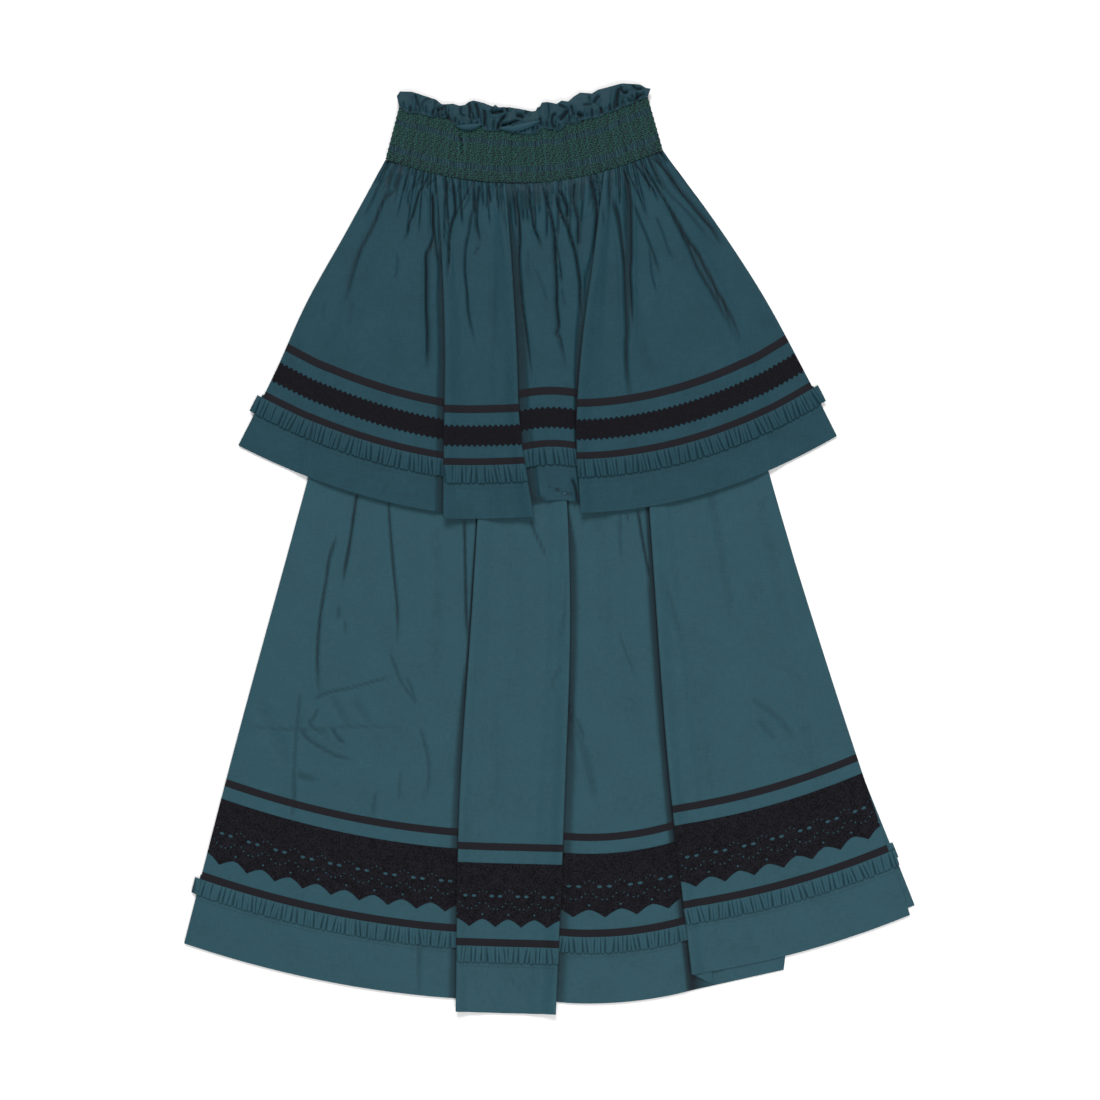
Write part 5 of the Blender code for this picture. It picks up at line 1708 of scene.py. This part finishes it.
def add_flap(mesh, start, end, sag, half, crown):
    """A lens-shaped lip of cloth that rolls forward over the band."""
    along = np.linspace(0, 1, 26)
    wide = np.sin(math.pi * along) ** 0.7 * half
    x = start[0] + (end[0] - start[0]) * along
    middle = start[1] + (end[1] - start[1]) * along - sag * np.sin(math.pi * along) * 0.5
    rows = []
    for part in np.linspace(1, -1, 9):
        rise = crown * np.cos(part * math.pi / 2) ** 0.6 * np.sin(math.pi * along) ** 0.5
        rows.append(np.stack([x, middle + wide * part, REED_CREST_Z + FLAP_LIFT + rise], axis=1))
    grid = np.stack(rows)
    top = grid + (0, 0, THIN / 2)
    bottom = grid - (0, 0, THIN / 2)
    mesh.sheets(top, bottom)


def ruffle_back(material):
    """The ruffle's back: plain waves a little below the front's edge."""
    edge = np.array(RUFFLE_EDGE, float)
    foot_x, top_x = ruffle_ends(BACK_RUFFLE_GRID[0], BACK_RUFFLE_INSET, BACK_RUFFLE_TOP)
    top = np.interp(top_x + 4.0, edge[:, 0], edge[:, 1]) - 3.0 + 1.2 * np.sin(top_x / 4.0)
    low = curve_y(BAND_TOP, foot_x) + CLEAR
    wave = 0.5 + 0.5 * np.sin(foot_x / 4.2 + 0.7 * np.sin(foot_x / 17.0))
    grid = []
    for up in np.linspace(1, 0, BACK_RUFFLE_GRID[1]):
        x = foot_x + (top_x - foot_x) * up
        z = FLOOR_Z + BACK_RUFFLE_RISE * wave * (0.3 + 0.7 * up)
        grid.append(np.stack([x, low + (top - low) * up, z], axis=1))
    grid = np.stack(grid)
    mesh = Mesh()
    mesh.cloth(grid[:, :, 0], grid[:, :, 1], grid[:, :, 2], THIN)
    return mesh.make("ruffle_frill_back", material)


# Back panels

def back_columns(lines, spans):
    """Columns of a plain panel through its table lines."""
    rows = [np.array(row, float) for row in lines]
    made = Columns({"back": lambda x: 0.0})
    widths = [abs(after[4] - before[4]) for before, after in zip(rows, rows[1:])]
    for before, after, width in zip(rows, rows[1:], widths):
        parts = max(1, round(spans * width / sum(widths)))
        for step in range(parts):
            share = step / parts
            row = before * (1 - share) + after * share
            made.add(row[:5], "back", end=row[5])
    made.add(rows[-1][:5], "back", end=rows[-1][5])
    return made


def upper_back_columns():
    """Columns between the seams of the upper tier's back, which its front covers."""
    left = np.array(UPPER_LINES["seam_left"][:5]) + BACK_INSET
    right = np.array(UPPER_LINES["seam_right"][:5]) - BACK_INSET
    lines = []
    for share in np.linspace(0, 1, UPPER_BACK_LINE_COUNT):
        places = left * (1 - share) + right * share
        lines.append((*places, back_hem_y(places[-1])))
    return back_columns(lines, BACK_SPANS)


def hem_stitches(name, surface, distance, material):
    """A row of small machine stitches along a hem's seam."""
    mesh = Mesh()
    for stretch in STRETCHES:
        length = surface.length(stretch, distance)
        count = max(2, round(length / HEM_STITCH_PITCH))
        for index in range(count):
            ends = (index + np.array(HEM_STITCH_ENDS)) / count
            upper = surface.across(stretch, distance + HEM_STITCH_HALF, ends)
            lower = surface.across(stretch, distance - HEM_STITCH_HALF, ends)
            top = np.stack([upper, lower]) + (0, 0, HEM_STITCH_RISE)
            bottom = top - (0, 0, HEM_STITCH_DEPTH)
            mesh.sheets(top, bottom)
    return mesh.make(name, material)


# The skirt

def build_skirt():
    shaded_upper_look = woven_cloth("upper_cotton_shaded", UPPER_CLOTH_SHADED)
    lower_look = woven_cloth("lower_cotton", LOWER_CLOTH)
    smocked_look = woven_cloth("smocked_cotton", SMOCKED_CLOTH, 0.3)
    thread_look = sewing_thread("smocking_thread_green", THREAD)
    dark_thread = sewing_thread("hem_thread", scaled(LOWER_CLOTH, 0.55))
    ribbon_look = ribbed_ribbon("plain_ribbon", RIBBON)
    braid_look = felted_braid("pinked_braid", BRAID_BLACK)
    lace_look = crochet("cotton_lace", LACE_BLACK)

    upper = front_columns(UPPER_LINES, UPPER_SAG, UPPER_SPANS, upper_side, UPPER_STAND)
    upper_creases = list(UPPER_CREASES) + waist_gathers(upper)
    upper_grid, upper_dark = laid_front(upper, upper_rows(), rest_upper_front, upper_creases, "upper")
    lower = front_columns(LOWER_LINES, LOWER_SAG, LOWER_SPANS, plain_side, LOWER_STAND)
    lower_grid, lower_dark = laid_front(lower, lower_rows(), rest_lower_front, LOWER_CREASES, "lower")
    fronts = {}
    for name, grid, dark, look, slot, node in (
        ("upper_tier_front", upper_grid, upper_dark, shaded_upper_look, "upper_cloth", "upper_front"),
        ("lower_tier_front", lower_grid, lower_dark, lower_look, "lower_cloth", "lower_front"),
    ):
        mesh = Mesh()
        mesh.cloth(*grid, THIN, dark)
        fronts[name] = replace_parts(mesh.make(name, look), node)

    upper_back = upper_back_columns()
    lower_back = back_columns(LOWER_BACK_LINES.values(), BACK_SPANS)
    upper_back_grid = upper_back.grid(np.linspace(0, 1, UPPER_BACK_ROW_COUNT), rest_floor)
    lower_back_grid = lower_back.grid(np.linspace(0, 1, LOWER_BACK_ROW_COUNT), ground)
    backs = {}
    for name, grid, look, slot, node in (
        ("upper_tier_back", upper_back_grid, shaded_upper_look, "upper_cloth", "upper_back"),
        ("lower_tier_back", lower_back_grid, lower_look, "lower_cloth", "lower_back"),
    ):
        mesh = Mesh()
        mesh.cloth(*grid, THIN)
        backs[name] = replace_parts(mesh.make(name, look), node)

    upper_top = Surface(upper, upper_grid, TRIM_LIFT)
    lower_top = Surface(lower, lower_grid, TRIM_LIFT)
    trims = {}
    for tier, surface, limits in (("upper", upper_top, UPPER_TRIMS), ("lower", lower_top, LOWER_TRIMS)):
        for part in ("ribbon_top", "ribbon_low"):
            name = f"{tier}_{part}_front"
            trims[name] = ribbon(name, surface, limits[part], ribbon_look)
            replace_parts(trims[name], *[f"{tier}_{part}_{stretch}" for stretch in STRETCHES])
        look, seed = (shaded_upper_look, 0.4) if tier == "upper" else (lower_look, 1.9)
        name = f"{tier}_frill_front"
        trims[name] = frill(name, surface, limits["frill"], look, seed=seed)
        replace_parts(trims[name], *[f"{tier}_frill_{stretch}" for stretch in STRETCHES])
    trims["braid_front"] = braid("braid_front", upper_top, braid_look)
    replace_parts(trims["braid_front"], *[f"upper_braid_{stretch}" for stretch in STRETCHES])
    trims["lace_front"] = lace("lace_front", lower_top, lace_look)
    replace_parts(trims["lace_front"], *[f"lower_lace_{stretch}" for stretch in STRETCHES])
    upper_face = Surface(upper, upper_grid, HEM_STITCH_LIFT)
    lower_face = Surface(lower, lower_grid, HEM_STITCH_LIFT)
    hem_stitches("upper_hem_stitches", upper_face, UPPER_STITCH_LINE, dark_thread)
    hem_stitches("lower_hem_stitches", lower_face, LOWER_STITCH_LINE, dark_thread)

    under = UNDER_TRIM_Z - FLOOR_Z
    only = ("back",)
    upper_under = Surface(upper_back, upper_back_grid, under)
    lower_under = Surface(lower_back, lower_back_grid, under)
    for tier, surface, limits in (("upper", upper_under, UPPER_TRIMS), ("lower", lower_under, LOWER_TRIMS)):
        for part in ("ribbon_top", "ribbon_low"):
            name = f"{tier}_{part}_back"
            trims[name] = ribbon(name, surface, limits[part], ribbon_look, UNDER_TRIM_THIN, only)
        look = shaded_upper_look if tier == "upper" else lower_look
        name = f"{tier}_frill_back"
        trims[name] = frill(name, surface, limits["frill"], look, True, UNDER_TRIM_THIN, only)
    trims["braid_back"] = braid("braid_back", upper_under, braid_look, UNDER_TRIM_THIN, only)
    trims["lace_back"] = lace("lace_back", lower_under, lace_look, UNDER_TRIM_THIN, LACE_BACK_CELL, True, only)

    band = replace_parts(smocked_front(smocked_look), "waistband_front")
    band_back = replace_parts(smocked_back(smocked_look), "waistband_back")
    stitches("smocking_stitches_front", FRONT_STITCH_Z, 1, thread_look)
    stitches("smocking_stitches_back", BACK_STITCH_Z, -1, thread_look)
    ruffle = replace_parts(ruffle_front(shaded_upper_look), "ruffle_front")
    back_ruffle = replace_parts(ruffle_back(shaded_upper_look), "ruffle_back")
    return fronts, backs, trims, (band, band_back, ruffle, back_ruffle)


fronts, backs, trims, (band, band_back, ruffle, back_ruffle) = build_skirt()


# Floor, light and camera

def build_floor():
    """A pale floor just under the skirt, in metres."""
    mesh = bpy.data.meshes.new("studio_floor")
    half = 6.0
    low = -0.0006
    corners = [(-half, -half, low), (half, -half, low), (half, half, low), (-half, half, low)]
    mesh.from_pydata(corners, [], [(0, 1, 2, 3)])
    made, tree, shader, place = new_material("pale_floor", (0.9, 0.9, 0.9), 0.9, 0.0, 0.1)
    grain = noise(tree, place, 40.0)
    shade = mixed_colour(tree, grain, (0.89, 0.89, 0.89), (0.91, 0.91, 0.91))
    tree.links.new(shade, shader.inputs["Base Color"])
    mesh.materials.append(made)
    floor = bpy.data.objects.new("studio_floor", mesh)
    bpy.context.collection.objects.link(floor)


def area_light(name, place, size, watts):
    """A square light that shines on the middle of the skirt."""
    data = bpy.data.lights.new(name, "AREA")
    data.shape = "SQUARE"
    data.size = size
    data.energy = watts
    light = bpy.data.objects.new(name, data)
    light.location = place
    direction = -np.array(place, float)
    direction /= np.linalg.norm(direction)
    light.rotation_euler = (
        math.acos(-direction[2]),
        0.0,
        math.atan2(-direction[0], direction[1]),
    )
    bpy.context.collection.objects.link(light)


def build_light():
    world = bpy.data.worlds.new("studio")
    world.use_nodes = True
    world.node_tree.nodes["Background"].inputs["Color"].default_value = (1.0, 1.0, 1.0, 1.0)
    world.node_tree.nodes["Background"].inputs["Strength"].default_value = 0.42
    bpy.context.scene.world = world
    area_light("key", (-0.45, 3.3, 3.6), 1.8, 190.0)
    area_light("fill", (0.6, -1.7, 2.6), 1.6, 48.0)


def build_camera():
    data = bpy.data.cameras.new("overhead")
    data.lens = LENS
    data.sensor_width = SENSOR
    camera = bpy.data.objects.new("overhead", data)
    distance = FRAME_WIDTH * LENS / SENSOR
    camera.location = (FRAME_MIDDLE[0], FRAME_MIDDLE[1], CLOTH_TOP + distance)
    bpy.context.collection.objects.link(camera)
    bpy.context.scene.camera = camera


build_floor()
build_light()
build_camera()
bpy.context.scene.view_settings.view_transform = "Standard"
